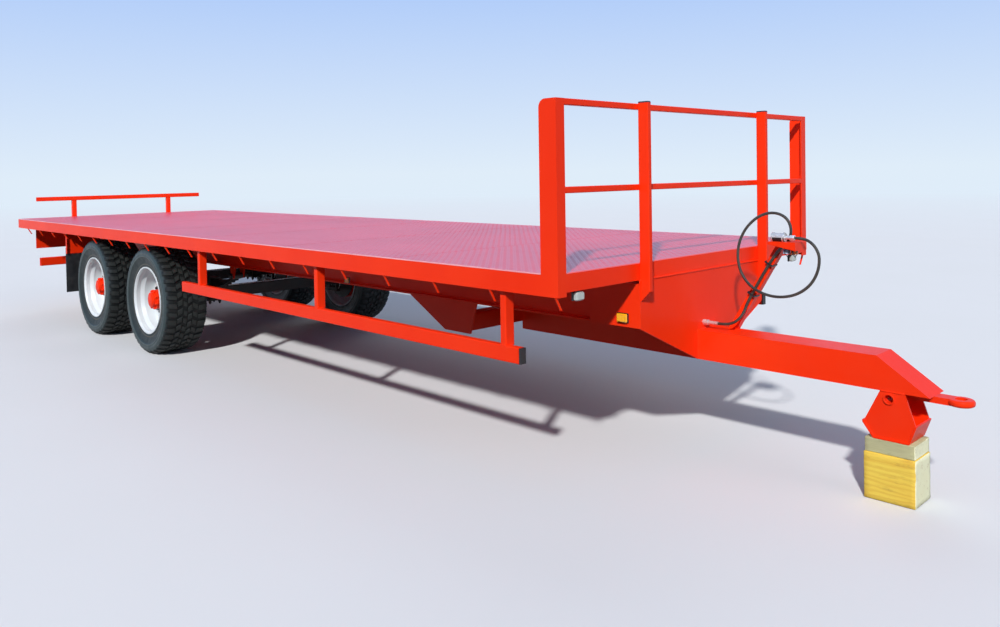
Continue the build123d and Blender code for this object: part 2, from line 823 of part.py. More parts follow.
# Axles: a square beam with two spring pads, and a round spindle and a brake back plate at each end
plate_out = wheel_y + disc_in - drum_depth - brake_gap
with BuildPart() as axle_beams:
    for x in axles.values():
        half = axle_square / 2
        reach = plate_out - back_plate
        block((x - half, -reach, axle_z - half), (x + half, reach, axle_z + half))
        long = clamp_length / 2
        wide = spring_width / 2
        for way in sides.values():
            block((x - long, way * beam_y - wide, axle_z + half), (x + long, way * beam_y + wide, z_seat))
        for way in sides.values():
            face = Plane((x, way * reach, axle_z), x_dir=(1, 0, 0), z_dir=(0, way, 0))
            with BuildSketch(face):
                Circle(drum_diameter / 2)
            extrude(amount=back_plate)
            with BuildSketch(face):
                Circle(hub_bore / 2)
            extrude(amount=wheel_y + hub_out - hub_cap_wall - spindle_gap - reach)
save(axle_beams, "axles")

# Brake gear: a cam tube with its lever on each back plate, and a ram that works the lever from below the axle
y_lever = reach - lever_inset
with BuildPart() as brake_levers:
    for x in axles.values():
        x_cam = x - cam_offset
        for way in sides.values():
            with BuildSketch(Plane((x_cam, way * reach, axle_z), x_dir=(1, 0, 0), z_dir=(0, -way, 0))):
                Circle(cam_radius)
            extrude(amount=cam_length)
            with BuildSketch(Plane((x_cam, way * y_lever, axle_z), x_dir=(1, 0, 0), z_dir=(0, -way, 0))):
                half = lever_width / 2
                up = -way
                Circle(half)
                edge = sorted((0, up * lever_drop))
                rect((-half, edge[0]), (half, edge[1]))
            extrude(amount=lever_thk)
save(brake_levers, "brake_levers")

with BuildPart() as brake_rams:
    z_ram = axle_z - lever_drop + ram_radius
    for x in axles.values():
        x_ram = x - cam_offset + lever_width / 2
        for way in sides.values():
            y = way * (y_lever - lever_thk / 2)
            with BuildSketch(Plane((x_ram, y, z_ram), x_dir=(0, 1, 0), z_dir=(1, 0, 0))):
                Circle(ram_radius)
            extrude(amount=ram_length)
            half = anchor_width / 2
            x_end = x_ram + ram_length
            block((x_end, y - half, z_ram - half), (x_end + anchor_thk, y + half, axle_z - axle_square / 2))
save(brake_rams, "brake_rams")

# Leaf springs on the axles' pads: stepped packs of leaves, the longest on top with an eye at each end
z_arc = z_seat + pack_thk + arc_radius
eye_out = eye_swing * sin(swing)
with BuildPart() as springs:
    for way in sides.values():
        for x in axles.values():
            with BuildSketch(Plane.XZ.offset(-way * beam_y)):
                for i in range(spring_leaves):
                    turn_deg = 2 * swing * (1 - leaf_step * i) * 180 / pi
                    radius = arc_radius + i * spring_leaf
                    with BuildLine():
                        upper = CenterArc((x, z_arc), radius, 270 - turn_deg / 2, turn_deg)
                        lower = CenterArc((x, z_arc), radius + spring_leaf, 270 - turn_deg / 2, turn_deg)
                        Line(upper @ 0, lower @ 0)
                        Line(upper @ 1, lower @ 1)
                    make_face()
                with Locations((x - eye_out, z_pin), (x + eye_out, z_pin)):
                    Circle(spring_eye)
                    Circle(pin_radius + pin_fit, mode=Mode.SUBTRACT)
            extrude(amount=spring_width / 2, both=True)
save(springs, "leaf_springs")

# Spring clamps: a plate above the pack and one below the axle, drawn together by four bars
z_clamp = z_seat + pack_thk + clamp_gap
with BuildPart() as clamps:
    for way in sides.values():
        for x in axles.values():
            y = way * beam_y
            long = clamp_length / 2
            wide = spring_width / 2 + clamp_bar + clamp_margin
            z_under = axle_z - axle_square / 2
            block((x - long, y - wide, z_clamp), (x + long, y + wide, z_clamp + clamp_plate))
            block((x - long, y - wide, z_under - clamp_plate), (x + long, y + wide, z_under))
            with BuildSketch(Plane.XY.offset(z_under)):
                with Locations((x, y)):
                    across = axle_square + clamp_bar + clamp_gap
                    with GridLocations(across, spring_width + clamp_bar + clamp_gap, 2, 2):
                        Circle(clamp_bar / 2)
            extrude(amount=z_clamp - z_under)
save(clamps, "spring_clamps")

# Spring hangers: a block with the rocker's pin in the middle, and at the two outer eyes
# a pair of cheeks with a cap plate and a pin
cheek_y = spring_width / 2 + side_gap
outer_eyes = (axles["front"] + eye_out, axles["rear"] - eye_out)
x_rocker = (axles["front"] + axles["rear"]) / 2
inner_eyes = (axles["front"] - eye_out, axles["rear"] + eye_out)
z_rocker = z_pin + rocker_rise
with BuildPart() as spring_hangers:
    for way in sides.values():
        y = way * beam_y
        half = rocker_hanger / 2
        block((x_rocker - half, y - half, z_rocker - half), (x_rocker + half, y + half, z_beam_low))
        with BuildSketch(Plane.XZ.offset(-y)):
            with Locations((x_rocker, z_rocker)):
                Circle(rocker_pin)
        extrude(amount=cheek_y + 2 * bracket_plate, both=True)
        for x in outer_eyes:
            for out in (-1, 1):
                edge = sorted((y + out * cheek_y, y + out * (cheek_y + bracket_plate)))
                with BuildSketch(Plane.XZ.offset(-edge[1])):
                    with Locations((x, z_pin)):
                        Circle(spring_eye)
                    foot = spring_eye * 2
                    points = [(x - spring_eye, z_pin), (x + spring_eye, z_pin)]
                    Polygon(*points, (x + foot, z_beam_low), (x - foot, z_beam_low), align=None)
                extrude(amount=bracket_plate)
            wide = cheek_y + bracket_plate
            block((x - foot, y - wide, z_beam_low - bracket_plate), (x + foot, y + wide, z_beam_low))
            with BuildSketch(Plane.XZ.offset(-y)):
                with Locations((x, z_pin)):
                    Circle(pin_radius)
            extrude(amount=wide + bracket_plate, both=True)
save(spring_hangers, "spring_hangers")

# Rockers between the springs: two plates with a pin in each inner eye, turning on the middle hanger's pin
with BuildPart() as rockers:
    for way in sides.values():
        y = way * beam_y
        for out in (-1, 1):
            edge = sorted((y + out * cheek_y, y + out * (cheek_y + bracket_plate)))
            with BuildSketch(Plane.XZ.offset(-edge[1])):
                low = [(x, z_pin - spring_eye) for x in sorted(inner_eyes)]
                high = [(x_rocker + spring_eye, z_rocker + spring_eye), (x_rocker - spring_eye, z_rocker + spring_eye)]
                Polygon(*low, *high, align=None)
                with Locations(*[(x, z_pin) for x in inner_eyes]):
                    Circle(spring_eye)
                with Locations((x_rocker, z_rocker)):
                    Circle(rocker_pin + pin_fit, mode=Mode.SUBTRACT)
            extrude(amount=bracket_plate)
        with BuildSketch(Plane.XZ.offset(-y)):
            with Locations(*[(x, z_pin) for x in inner_eyes]):
                Circle(pin_radius)
        extrude(amount=cheek_y + 2 * bracket_plate, both=True)
save(rockers, "spring_rockers")

# Hose: its route, as places forward of the deck's front, to the left and above the deck
hose_route = [
    (96, -30, -372),
    (150, -30, -372),
    (197, -15, -353),
    (228, 8, -306),
    (238, 31.5, -244),
    (399, 31.5, 26),
    (466, 31.5, 81),
    (486, 31, 122),
    (486, 31, 166),
    (467, 30, 205),
    (430, 29, 229),
    (383, 27, 236),
    (330, 25, 224),
    (277, 22, 191),
    (229, 18, 137),
    (197, 13, 62),
    (194, 8, -22),
    (219, 3, -98),
    (276, -1, -160),
    (355, -3, -194),
    (444, -4, -200),
    (531, -4, -178),
    (602, -3, -126),
    (642, -2, -56),
    (652, -2, 14),
    (639, -2, 57),
    (610, -2, 92),
    (568, -2, 111),
    (521, -2, 111),
]
hose_points = [Vector(x_front + x, y, deck_height + z) for x, y, z in hose_route]

# Hose stand: a square tube that leans forward from the drawbar to the coupling bracket
z_bracket = deck_height + bracket_rise
x_stand = x_front + stand_reach
lean = tan(radians(stand_lean))
stand_rise = z_bracket - bracket_thk - z_bar_top
stand_skew = stand_bar / cos(radians(stand_lean)) / 2
x_stand_top = x_stand + stand_rise * lean
with BuildPart() as stand:
    with BuildSketch(Plane.XZ.offset(-stand_side)):
        points = [(x_stand - stand_skew, z_bar_top), (x_stand + stand_skew, z_bar_top)]
        points += [(x_stand_top + stand_skew, z_bar_top + stand_rise)]
        points += [(x_stand_top - stand_skew, z_bar_top + stand_rise)]
        Polygon(*points, align=None)
    extrude(amount=stand_bar / 2, both=True)
save(stand, "hose_stand")

# Coupling bracket: a plate on the stand with two lips bent down, a hole for the hose and two parking sockets
x_bracket = x_stand_top - stand_skew - bracket_lap
y_hose = stand_side - stand_bar / 2 - hose_diameter / 2 - hose_gap
y_coupling = hose_points[-1].Y
with BuildPart() as bracket:
    with BuildSketch(Plane.XY.offset(z_bracket - bracket_thk)):
        low = (x_bracket, y_coupling - coupling_diameter)
        rect(low, (x_bracket + bracket_length, stand_side + stand_bar / 2))
        with Locations((hose_points[6].X, hose_points[6].Y)):
            Circle(hose_hole / 2, mode=Mode.SUBTRACT)
    extrude(amount=bracket_thk)
    with BuildSketch(Plane.XY.offset(z_bracket - bracket_thk)):
        for i in range(socket_count):
            with Locations((x_bracket + bracket_length - socket_edge - i * socket_pitch, y_coupling)):
                Circle(socket_diameter / 2)
    extrude(amount=-socket_length)
    x_lip = x_bracket + bracket_length
    y_lip = y_coupling - coupling_diameter
    low = (x_lip - bracket_thk, y_lip, z_bracket - bracket_drop)
    block(low, (x_lip, stand_side + stand_bar / 2, z_bracket))
    with BuildSketch(Plane.XZ.offset(-y_lip)):
        points = [(x_bracket, z_bracket - bracket_toe), (x_lip, z_bracket - bracket_drop)]
        Polygon(*points, (x_lip, z_bracket), (x_bracket, z_bracket), align=None)
    extrude(amount=-bracket_thk)
save(bracket, "coupling_bracket")


def bend_radius(before, corner, after):
    """Largest arc that fits the two runs at a corner, with a little straight left between arcs."""
    shorter = min((corner - before).length, (after - corner).length)
    turned = (corner - before).get_angle(after - corner)
    return 0.45 * shorter / tan(radians(turned / 2))


hose_radii = [bend_radius(*hose_points[i : i + 3]) for i in range(len(hose_points) - 2)]
with BuildPart() as hose:
    with BuildLine() as line:
        FilletPolyline(*hose_points, radius=hose_radii)
    with BuildSketch(Plane(origin=line.line @ 0, z_dir=line.line % 0)):
        Circle(hose_diameter / 2)
    sweep(path=line.line)
save(hose, "hose")
hose_length = line.wire().length
print("hose length", round(hose_length))
print("hose volume over section times length", round(hose.part.volume / (pi * hose_diameter**2 / 4 * hose_length), 4))
print("hose radii", [round(r) for r in hose_radii])

# Pipe fitting on the bulkhead that the hose leaves from
start = hose_points[0]
with BuildPart() as fitting:
    with BuildSketch(Plane.YZ.offset(x_front + bulkhead_plate)):
        with Locations((start.Y, start.Z)):
            RegularPolygon(fitting_diameter / 2, 6)
    extrude(amount=fitting_length)
    with BuildSketch(Plane.YZ.offset(x_front + bulkhead_plate)):
        with Locations((start.Y, start.Z)):
            Circle(ferrule_diameter / 2)
    extrude(amount=start.X - x_front - bulkhead_plate)
save(fitting, "hose_fitting")

# Quick coupling at the hose's far end, lying on the bracket
end = hose_points[-1]
with BuildPart() as coupling:
    with BuildSketch(Plane.YZ.offset(end.X - coupling_length)):
        with Locations((end.Y, end.Z)):
            Circle(coupling_diameter / 2)
    extrude(amount=coupling_body)
    with BuildSketch(Plane.YZ.offset(end.X - coupling_length)):
        with Locations((end.Y, end.Z)):
            Circle(ferrule_diameter / 2)
    extrude(amount=coupling_length)
save(coupling, "hose_coupling")

# Clips that hold the hose against the stand
stand_way = Vector(lean, 0, 1).normalized()
with BuildPart() as clips:
    for height in clip_heights:
        place = Vector(x_stand + height * lean, stand_side, z_bar_top + height)
        with BuildSketch(Plane(origin=place, x_dir=(0, 1, 0), z_dir=stand_way)):
            low = (y_hose - stand_side - hose_diameter / 2 - clip_thk - clip_gap, -stand_bar / 2 - clip_thk)
            rect(low, (stand_bar / 2 + clip_thk, stand_bar / 2 + clip_thk))
            low = (low[0] + clip_thk, -stand_bar / 2)
            rect(low, (stand_bar / 2, stand_bar / 2), Mode.SUBTRACT)
        extrude(amount=clip_width / 2, both=True)
save(clips, "hose_clips")
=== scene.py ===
import json
import math
import random

import bmesh
import bpy
from mathutils import Matrix, Vector


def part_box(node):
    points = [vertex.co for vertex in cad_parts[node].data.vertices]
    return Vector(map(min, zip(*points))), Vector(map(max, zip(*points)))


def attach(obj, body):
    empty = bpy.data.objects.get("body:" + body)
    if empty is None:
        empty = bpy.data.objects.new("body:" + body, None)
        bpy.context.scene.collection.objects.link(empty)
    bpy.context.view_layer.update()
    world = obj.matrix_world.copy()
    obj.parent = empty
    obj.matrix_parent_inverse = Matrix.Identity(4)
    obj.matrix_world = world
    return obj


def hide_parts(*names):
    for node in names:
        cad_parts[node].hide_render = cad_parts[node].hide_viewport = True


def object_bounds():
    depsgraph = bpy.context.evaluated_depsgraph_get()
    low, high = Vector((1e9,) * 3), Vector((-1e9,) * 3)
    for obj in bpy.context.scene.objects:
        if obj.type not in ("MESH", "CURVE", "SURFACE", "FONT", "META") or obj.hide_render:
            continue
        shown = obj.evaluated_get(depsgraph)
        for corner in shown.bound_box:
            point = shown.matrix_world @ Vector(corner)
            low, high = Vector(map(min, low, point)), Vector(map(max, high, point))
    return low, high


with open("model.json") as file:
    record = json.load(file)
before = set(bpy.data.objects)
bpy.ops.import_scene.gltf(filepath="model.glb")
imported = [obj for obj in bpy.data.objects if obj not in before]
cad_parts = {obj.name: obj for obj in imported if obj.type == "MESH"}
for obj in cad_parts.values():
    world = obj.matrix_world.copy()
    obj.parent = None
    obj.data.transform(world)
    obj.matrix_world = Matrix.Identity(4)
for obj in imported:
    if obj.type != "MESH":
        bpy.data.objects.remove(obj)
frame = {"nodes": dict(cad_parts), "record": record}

# places in the frame, in metres
cadBox = [list(corner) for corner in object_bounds()]
deckLow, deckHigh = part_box("deck_plate")
deckTop, halfWidth, xRear = deckHigh.z, deckHigh.y, deckLow.x
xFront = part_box("front_beam")[1].x
beamLow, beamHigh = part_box("main_beams")
sides = (1, -1)  # left and right
axleRows = ("front", "rear")
wheelNames = [f"{row}_{side}" for row in axleRows for side in ("left", "right")]
wheelMiddles = {name: sum(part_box("tyre_" + name), Vector()) / 2 for name in wheelNames}
axleX = {row: wheelMiddles[row + "_left"].x for row in axleRows}
axleZ = wheelMiddles["front_left"].z
axleMiddle = (axleX["front"] + axleX["rear"]) / 2
axleHalf = (axleX["front"] - axleX["rear"]) / 2
print("frame loaded, deck top at", round(deckTop, 3))


class Wire:  # a node's socket that takes part in plain arithmetic
    def __init__(self, tree, socket):
        self.tree = tree
        self.socket = socket

    def combine(self, operation, *terms):
        node = self.tree.nodes.new("ShaderNodeMath")
        node.operation = operation
        for slot, term in zip(node.inputs, terms):
            if isinstance(term, Wire):
                self.tree.links.new(term.socket, slot)
            else:
                slot.default_value = term
        return Wire(self.tree, node.outputs[0])

    def __add__(self, other):
        return self.combine("ADD", self, other)

    __radd__ = __add__

    def __sub__(self, other):
        return self.combine("SUBTRACT", self, other)

    def __rsub__(self, other):
        return self.combine("SUBTRACT", other, self)

    def __mul__(self, other):
        return self.combine("MULTIPLY", self, other)

    __rmul__ = __mul__

    def __truediv__(self, other):
        return self.combine("DIVIDE", self, other)

    def __rtruediv__(self, other):
        return self.combine("DIVIDE", other, self)

    def __pow__(self, other):
        return self.combine("POWER", self, other)

    def __abs__(self):
        return self.combine("ABSOLUTE", self)

    def larger(self, other):
        return self.combine("MAXIMUM", self, other)

    def fraction(self):
        return self.combine("FRACT", self)


class Tree:  # makes every node but the arithmetic
    def __init__(self, tree):
        self.tree = tree

    def feed(self, slot, value):
        if isinstance(value, Wire):
            self.tree.links.new(value.socket, slot)
        else:
            slot.default_value = value

    def node(self, kind, settings=None, sockets=None, output=0):
        made = self.tree.nodes.new("ShaderNode" + kind)
        for key, value in (settings or {}).items():
            if key == "stops":
                for stop, (spot, colour) in zip(made.color_ramp.elements, value):
                    stop.position, stop.color = spot, colour
            else:
                setattr(made, key, value)
        for key, value in (sockets or {}).items():
            self.feed(made.inputs[key], value)
        return Wire(self.tree, made.outputs[output])

    def axis(self, letter, vector):
        return self.node("SeparateXYZ", None, {0: vector}, letter)

    def seen(self):  # 1 for what the camera sees, straight or through gloss and glass
        kinds = ("Camera", "Glossy", "Transmission")
        straight, gloss, glass = [self.node("LightPath", output=f"Is {kind} Ray") for kind in kinds]
        return straight.larger(gloss.larger(glass))


class Finish(Tree):  # a material that is built up from wires
    def __init__(self, name, slot):
        self.slot = slot
        self.material = bpy.data.materials.new(name)
        self.material.use_nodes = True
        super().__init__(self.material.node_tree)
        self.shader = self.tree.nodes["Principled BSDF"]
        self.place = self.node("TexCoord", output="Object")

    def noise(self, scale, detail=3.0, stretch=(1, 1, 1), roughness=0.5):
        spread = self.node("VectorMath", {"operation": "MULTIPLY"}, {0: self.place, 1: stretch})
        sockets = {"Vector": spread, "Scale": scale, "Detail": detail, "Roughness": roughness}
        return self.node("TexNoise", None, sockets)

    def between(self, value, low, high, toLow=0.0, toHigh=1.0):
        sockets = {"Value": value, "From Min": low, "From Max": high, "To Min": toLow, "To Max": toHigh}
        return self.node("MapRange", {"clamp": True}, sockets)

    def patches(self, low, high, *noise, **more):  # noise that runs from 0 at low to 1 at high
        return self.between(self.noise(*noise, **more), low, high)

    def stripe(self, value, at, core, reach):  # 1 within the core of a value, 0 beyond its reach
        return self.between(abs(value - at), core, reach, 1.0, 0.0)

    def blend(self, factor, first, second):
        return self.node("Mix", {"data_type": "RGBA"}, {0: factor, 6: first, 7: second}, 2)

    def bump(self, height, distance, strength, under=None):
        sockets = {"Height": height, "Distance": distance, "Strength": strength}
        if under:
            sockets["Normal"] = under
        return self.node("Bump", None, sockets)

    def wheelRadius(self):  # distance from the nearer axle's middle line
        along = abs(self.axis("X", self.place) - axleMiddle) - axleHalf
        up = self.axis("Z", self.place) - axleZ
        return (along * along + up * up) ** 0.5

    def paint(self, **values):
        for name, value in values.items():
            self.feed(self.shader.inputs[name.replace("_", " ")], value)
        return self


# paint with soft tones, streaks, and a film of dirt that thins out from low to high
paintDirt = {"low": 0.15, "high": 0.95, "left": 0.25, "rough": 0.5}
redLook = {
    "deep": (0.91, 0.029, 0.003, 1), "bright": (0.99, 0.041, 0.005, 1), "faded": (0.95, 0.055, 0.012, 1),
    "dust": (0.40, 0.20, 0.12, 1), "film": 0.05, "streaks": 0.12, "rough": 0.30, "peel": 0.5, "wave": 0.14,
    "shine": 0.14, "coat": 0.0,
}
whiteLook = {
    "deep": (0.66, 0.70, 0.71, 1), "bright": (0.80, 0.84, 0.85, 1), "faded": (0.60, 0.61, 0.58, 1),
    "dust": (0.30, 0.27, 0.22, 1), "film": 0.22, "streaks": 0.15, "rough": 0.26, "peel": 0.5, "wave": 0.10,
    "shine": 0.5, "coat": 0.2,
}
blackLook = {
    "deep": (0.014, 0.013, 0.013, 1), "bright": (0.030, 0.027, 0.025, 1), "faded": (0.07, 0.045, 0.03, 1),
    "dust": (0.13, 0.09, 0.065, 1), "film": 0.45, "streaks": 0.3, "rough": 0.42, "peel": 0.7, "wave": 0.1,
    "shine": 0.4, "coat": 0.0,
}
# pale pink paint for the deck's edge runs: a painted highlight, the sheen of sky along the deck's edge put
# into the colour
edgeHighlightLook = {
    "deep": (0.84, 0.36, 0.39, 1), "bright": (0.92, 0.50, 0.53, 1), "faded": (0.86, 0.52, 0.53, 1),
    "dust": (0.48, 0.34, 0.32, 1), "film": 0.05, "streaks": 0.2, "rough": 0.32, "peel": 0.5, "wave": 0.1,
    "shine": 0.5, "coat": 0.2,
}


def paintFinish(name, slot, look):
    finish = Finish(name, slot)
    tone = finish.patches(0.3, 0.7, 1.6, 4.0)
    streaks = finish.patches(0.5, 0.8, 7.0, 4.0, (1.0, 1.0, 0.12))
    grime = finish.patches(0.45, 0.75, 4.5, 6.0, roughness=0.62)
    height = finish.axis("Z", finish.place)
    settled = finish.between(height, paintDirt["low"], paintDirt["high"], 1.0, paintDirt["left"])
    film = grime * settled * look["film"]
    colour = finish.blend(tone, look["deep"], look["bright"])
    colour = finish.blend(streaks * look["streaks"], colour, look["faded"])
    colour = finish.blend(film, colour, look["dust"])
    rough = look["rough"] + 0.12 * finish.noise(38.0) + paintDirt["rough"] * film
    peel = finish.bump(finish.noise(420.0, 2.0), 0.0002, look["peel"])
    wave = finish.bump(finish.noise(5.0, 2.0), 0.004, look["wave"], peel)
    finish.paint(Base_Color=colour, Roughness=rough, Normal=wave)
    return finish.paint(Specular_IOR_Level=look["shine"], Coat_Weight=look["coat"], Coat_Roughness=0.12)


redPaint = paintFinish("redGloss", "red_paint", redLook)
# paint of the deck's edge runs, paler than the deck: a painted highlight
edgeHighlightPaint = paintFinish("paintedHighlightEdge", "deck_paint", edgeHighlightLook)
whitePaint = paintFinish("whiteRim", "white_paint", whiteLook)
blackPaint = paintFinish("blackChassis", "black_paint", blackLook)

deckLook = {
    "deep": (0.64, 0.026, 0.036, 1), "bright": (0.78, 0.040, 0.056, 1), "scuff": (0.58, 0.16, 0.18, 1),
    "dust": (0.48, 0.34, 0.32, 1), "scuffs": 0.10, "film": 0.07, "rough": 0.34, "peel": 0.4, "wave": 0.10,
    "shine": 0.8, "coat": 0.7, "coatRough": 0.34,
}


def deckFinish(look):
    finish = Finish("deckGloss", "deck_paint")
    tone = finish.patches(0.3, 0.7, 0.9, 5.0)
    scuffs = finish.patches(0.56, 0.72, 3.0, 6.0, (0.12, 2.2, 1.0), 0.65)  # drawn out along the deck
    dust = finish.patches(0.5, 0.8, 2.3, 7.0, roughness=0.7)
    colour = finish.blend(tone, look["deep"], look["bright"])
    colour = finish.blend(scuffs * look["scuffs"], colour, look["scuff"])
    colour = finish.blend(dust * look["film"], colour, look["dust"])
    rough = look["rough"] + 0.08 * dust + 0.06 * scuffs + 0.06 * finish.noise(55.0, 2.0)
    peel = finish.bump(finish.noise(380.0, 2.0), 0.0002, look["peel"])
    wave = finish.bump(finish.noise(2.4, 2.0), 0.006, look["wave"], peel)
    finish.paint(Base_Color=colour, Roughness=rough, Normal=wave, Specular_IOR_Level=look["shine"])
    return finish.paint(Coat_Weight=look["coat"], Coat_Roughness=look["coatRough"])


# tyre: pairs of tones, and rings on the wall at their radii
tyreLook = {
    "wall": ((0.022, 0.035, 0.036, 1), (0.040, 0.060, 0.060, 1)),
    # hollow: painted shade, a darker tone on the inset lower wall towards the rim
    "hollow": ((0.007, 0.012, 0.011, 1), (0.014, 0.021, 0.019, 1)), "hollowEdge": (0.376, 0.386),
    "blocks": ((0.008, 0.010, 0.009, 1), (0.018, 0.021, 0.019, 1)), "blocksFrom": (0.436, 0.452),
    # groove: painted shade, near black at the foot of the tread blocks down in the gaps
    "groove": (0.004, 0.005, 0.004, 1), "grooveShadeFrom": (0.4575, 0.464), "blockDust": (0.040, 0.040, 0.030, 1),
    "worn": (0.036, 0.040, 0.038, 1), "wornFrom": (0.464, 0.470),
    # ridge: a painted highlight, a paler ring on the raised ring of the wall
    "ridge": (0.11, 0.12, 0.10, 1), "ridgeHighlightAt": (0.3892, 0.001, 0.004),
    "scuff": (0.10, 0.11, 0.11, 1), "scuffAt": (0.413, 0.004, 0.012),
    "dust": (0.22, 0.18, 0.12, 1), "dustAt": (0.319, 0.001, 0.005),
}


def tyreFinish(look):
    finish = Finish("tyreRubber", "tyre")
    radius = finish.wheelRadius()
    tread = finish.between(radius, *look["blocksFrom"])
    worn = finish.between(radius, *look["wornFrom"])
    mottle = finish.noise(9.0, 5.0)
    dust = finish.patches(0.42, 0.72, 16.0, 6.0, roughness=0.65)
    wall = finish.blend(mottle, *look["wall"])
    # below the hollow edge the wall turns darker: painted shade on the inset lower wall
    hollow = finish.blend(mottle, *look["hollow"])
    wall = finish.blend(finish.between(radius, *look["hollowEdge"]), hollow, wall)
    # paler ring on the wall's raised ring: painted highlight
    wall = finish.blend(finish.stripe(radius, *look["ridgeHighlightAt"]) * 0.6, wall, look["ridge"])
    wall = finish.blend(finish.stripe(radius, *look["scuffAt"]) * 0.25, wall, look["scuff"])
    wall = finish.blend(finish.stripe(radius, *look["dustAt"]) * (0.25 + 0.5 * dust), wall, look["dust"])
    blocks = finish.blend(mottle, *look["blocks"])
    blocks = finish.blend(dust * 0.35, blocks, look["blockDust"])
    # tread blocks turn near black towards their foot: painted shade in the gaps
    blocks = finish.blend(finish.between(radius, *look["grooveShadeFrom"]), look["groove"], blocks)
    colour = finish.blend(tread, wall, blocks)
    colour = finish.blend(worn * 0.30, colour, look["worn"])
    rough = 0.46 + 0.20 * dust + 0.16 * tread
    grain = finish.bump(finish.noise(650.0, 2.0), 0.0003, 0.7)
    return finish.paint(Base_Color=colour, Roughness=rough, Normal=grain)


# rubber, plastic and plated steel
rubberLook = {
    "deep": (0.014, 0.015, 0.016, 1), "bright": (0.028, 0.029, 0.031, 1), "dust": (0.13, 0.115, 0.09, 1),
    "film": 0.3, "mottle": 14.0, "grain": 700.0, "relief": 0.7, "rough": 0.40, "metal": 0.0,
}
hoseLook = {
    "deep": (0.026, 0.024, 0.019, 1), "bright": (0.054, 0.049, 0.037, 1), "dust": (0.20, 0.17, 0.12, 1),
    "film": 0.25, "mottle": 24.0, "grain": 700.0, "relief": 0.7, "rough": 0.34, "metal": 0.0,
}
plasticLook = {
    "deep": (0.007, 0.007, 0.008, 1), "bright": (0.014, 0.014, 0.016, 1), "dust": (0.16, 0.15, 0.13, 1),
    "film": 0.06, "mottle": 20.0, "grain": 900.0, "relief": 0.5, "rough": 0.36, "metal": 0.0,
}
steelLook = {
    "deep": (0.60, 0.61, 0.60, 1), "bright": (0.78, 0.79, 0.78, 1), "dust": (0.36, 0.33, 0.28, 1),
    "film": 0.15, "mottle": 26.0, "grain": 500.0, "relief": 0.4, "rough": 0.22, "metal": 0.6,
}
orangeLook = {
    "deep": (0.72, 0.13, 0.01, 1), "bright": (0.86, 0.20, 0.015, 1), "dust": (0.3, 0.25, 0.2, 1),
    "film": 0.1, "mottle": 30.0, "grain": 800.0, "relief": 0.3, "rough": 0.3, "metal": 0.0,
}
blueLook = {
    "deep": (0.25, 0.38, 0.55, 1), "bright": (0.42, 0.55, 0.68, 1), "dust": (0.3, 0.27, 0.22, 1),
    "film": 0.12, "mottle": 30.0, "grain": 800.0, "relief": 0.3, "rough": 0.3, "metal": 0.0,
}


def plainFinish(name, slot, look):
    finish = Finish(name, slot)
    mottle = finish.patches(0.3, 0.7, look["mottle"], 5.0)
    dust = finish.patches(0.5, 0.8, 11.0, 6.0, roughness=0.66)
    colour = finish.blend(mottle, look["deep"], look["bright"])
    colour = finish.blend(dust * look["film"], colour, look["dust"])
    rough = look["rough"] + 0.14 * mottle + 0.2 * dust
    grain = finish.bump(finish.noise(look["grain"]), 0.0003, look["relief"])
    return finish.paint(Base_Color=colour, Roughness=rough, Normal=grain, Metallic=look["metal"])


# lamp lenses: crossed ribs inside clear plastic
lensRibs = {"scale": 55.0, "depth": 0.0006, "relief": 0.8, "coat": 0.6, "coatRough": 0.04}


def lensFinish(name, slot, deep, bright):
    finish = Finish(name, slot)
    sockets = {"Vector": finish.place, "Scale": lensRibs["scale"]}
    up, along, across = [finish.node("TexWave", {"bands_direction": letter}, sockets) for letter in "ZXY"]
    prism = up * 0.4 + along * 0.3 + across * 0.3
    rough = 0.10 + 0.10 * finish.noise(30.0, 4.0)
    relief = finish.bump(prism, lensRibs["depth"], lensRibs["relief"])
    finish.paint(Base_Color=finish.blend(prism, deep, bright), Roughness=rough, Normal=relief)
    return finish.paint(Coat_Weight=lensRibs["coat"], Coat_Roughness=lensRibs["coatRough"])


# timber: rings about a heart line that sways, darker late wood, pale ends
heart = {"y": -0.20, "z": 0.34, "swayY": 0.10, "swayZ": 0.16, "rings": 64.0, "fibre": 2.2}
blockLook = {
    "early": (0.88, 0.64, 0.10, 1), "late": (0.68, 0.38, 0.05, 1), "stain": (0.80, 0.42, 0.05, 1),
    "check": (0.42, 0.23, 0.06, 1), "end": (0.98, 0.97, 0.68, 1), "endLate": (0.93, 0.89, 0.55, 1),
    "endStain": (0.93, 0.86, 0.50, 1), "rings": 0.45,
}
plankLook = {
    "early": (0.52, 0.50, 0.27, 1), "late": (0.38, 0.35, 0.20, 1), "stain": (0.46, 0.42, 0.26, 1),
    "check": (0.22, 0.19, 0.12, 1), "end": (0.98, 0.97, 0.68, 1), "endLate": (0.92, 0.88, 0.55, 1),
    "endStain": (0.91, 0.85, 0.50, 1), "rings": 0.3,
}


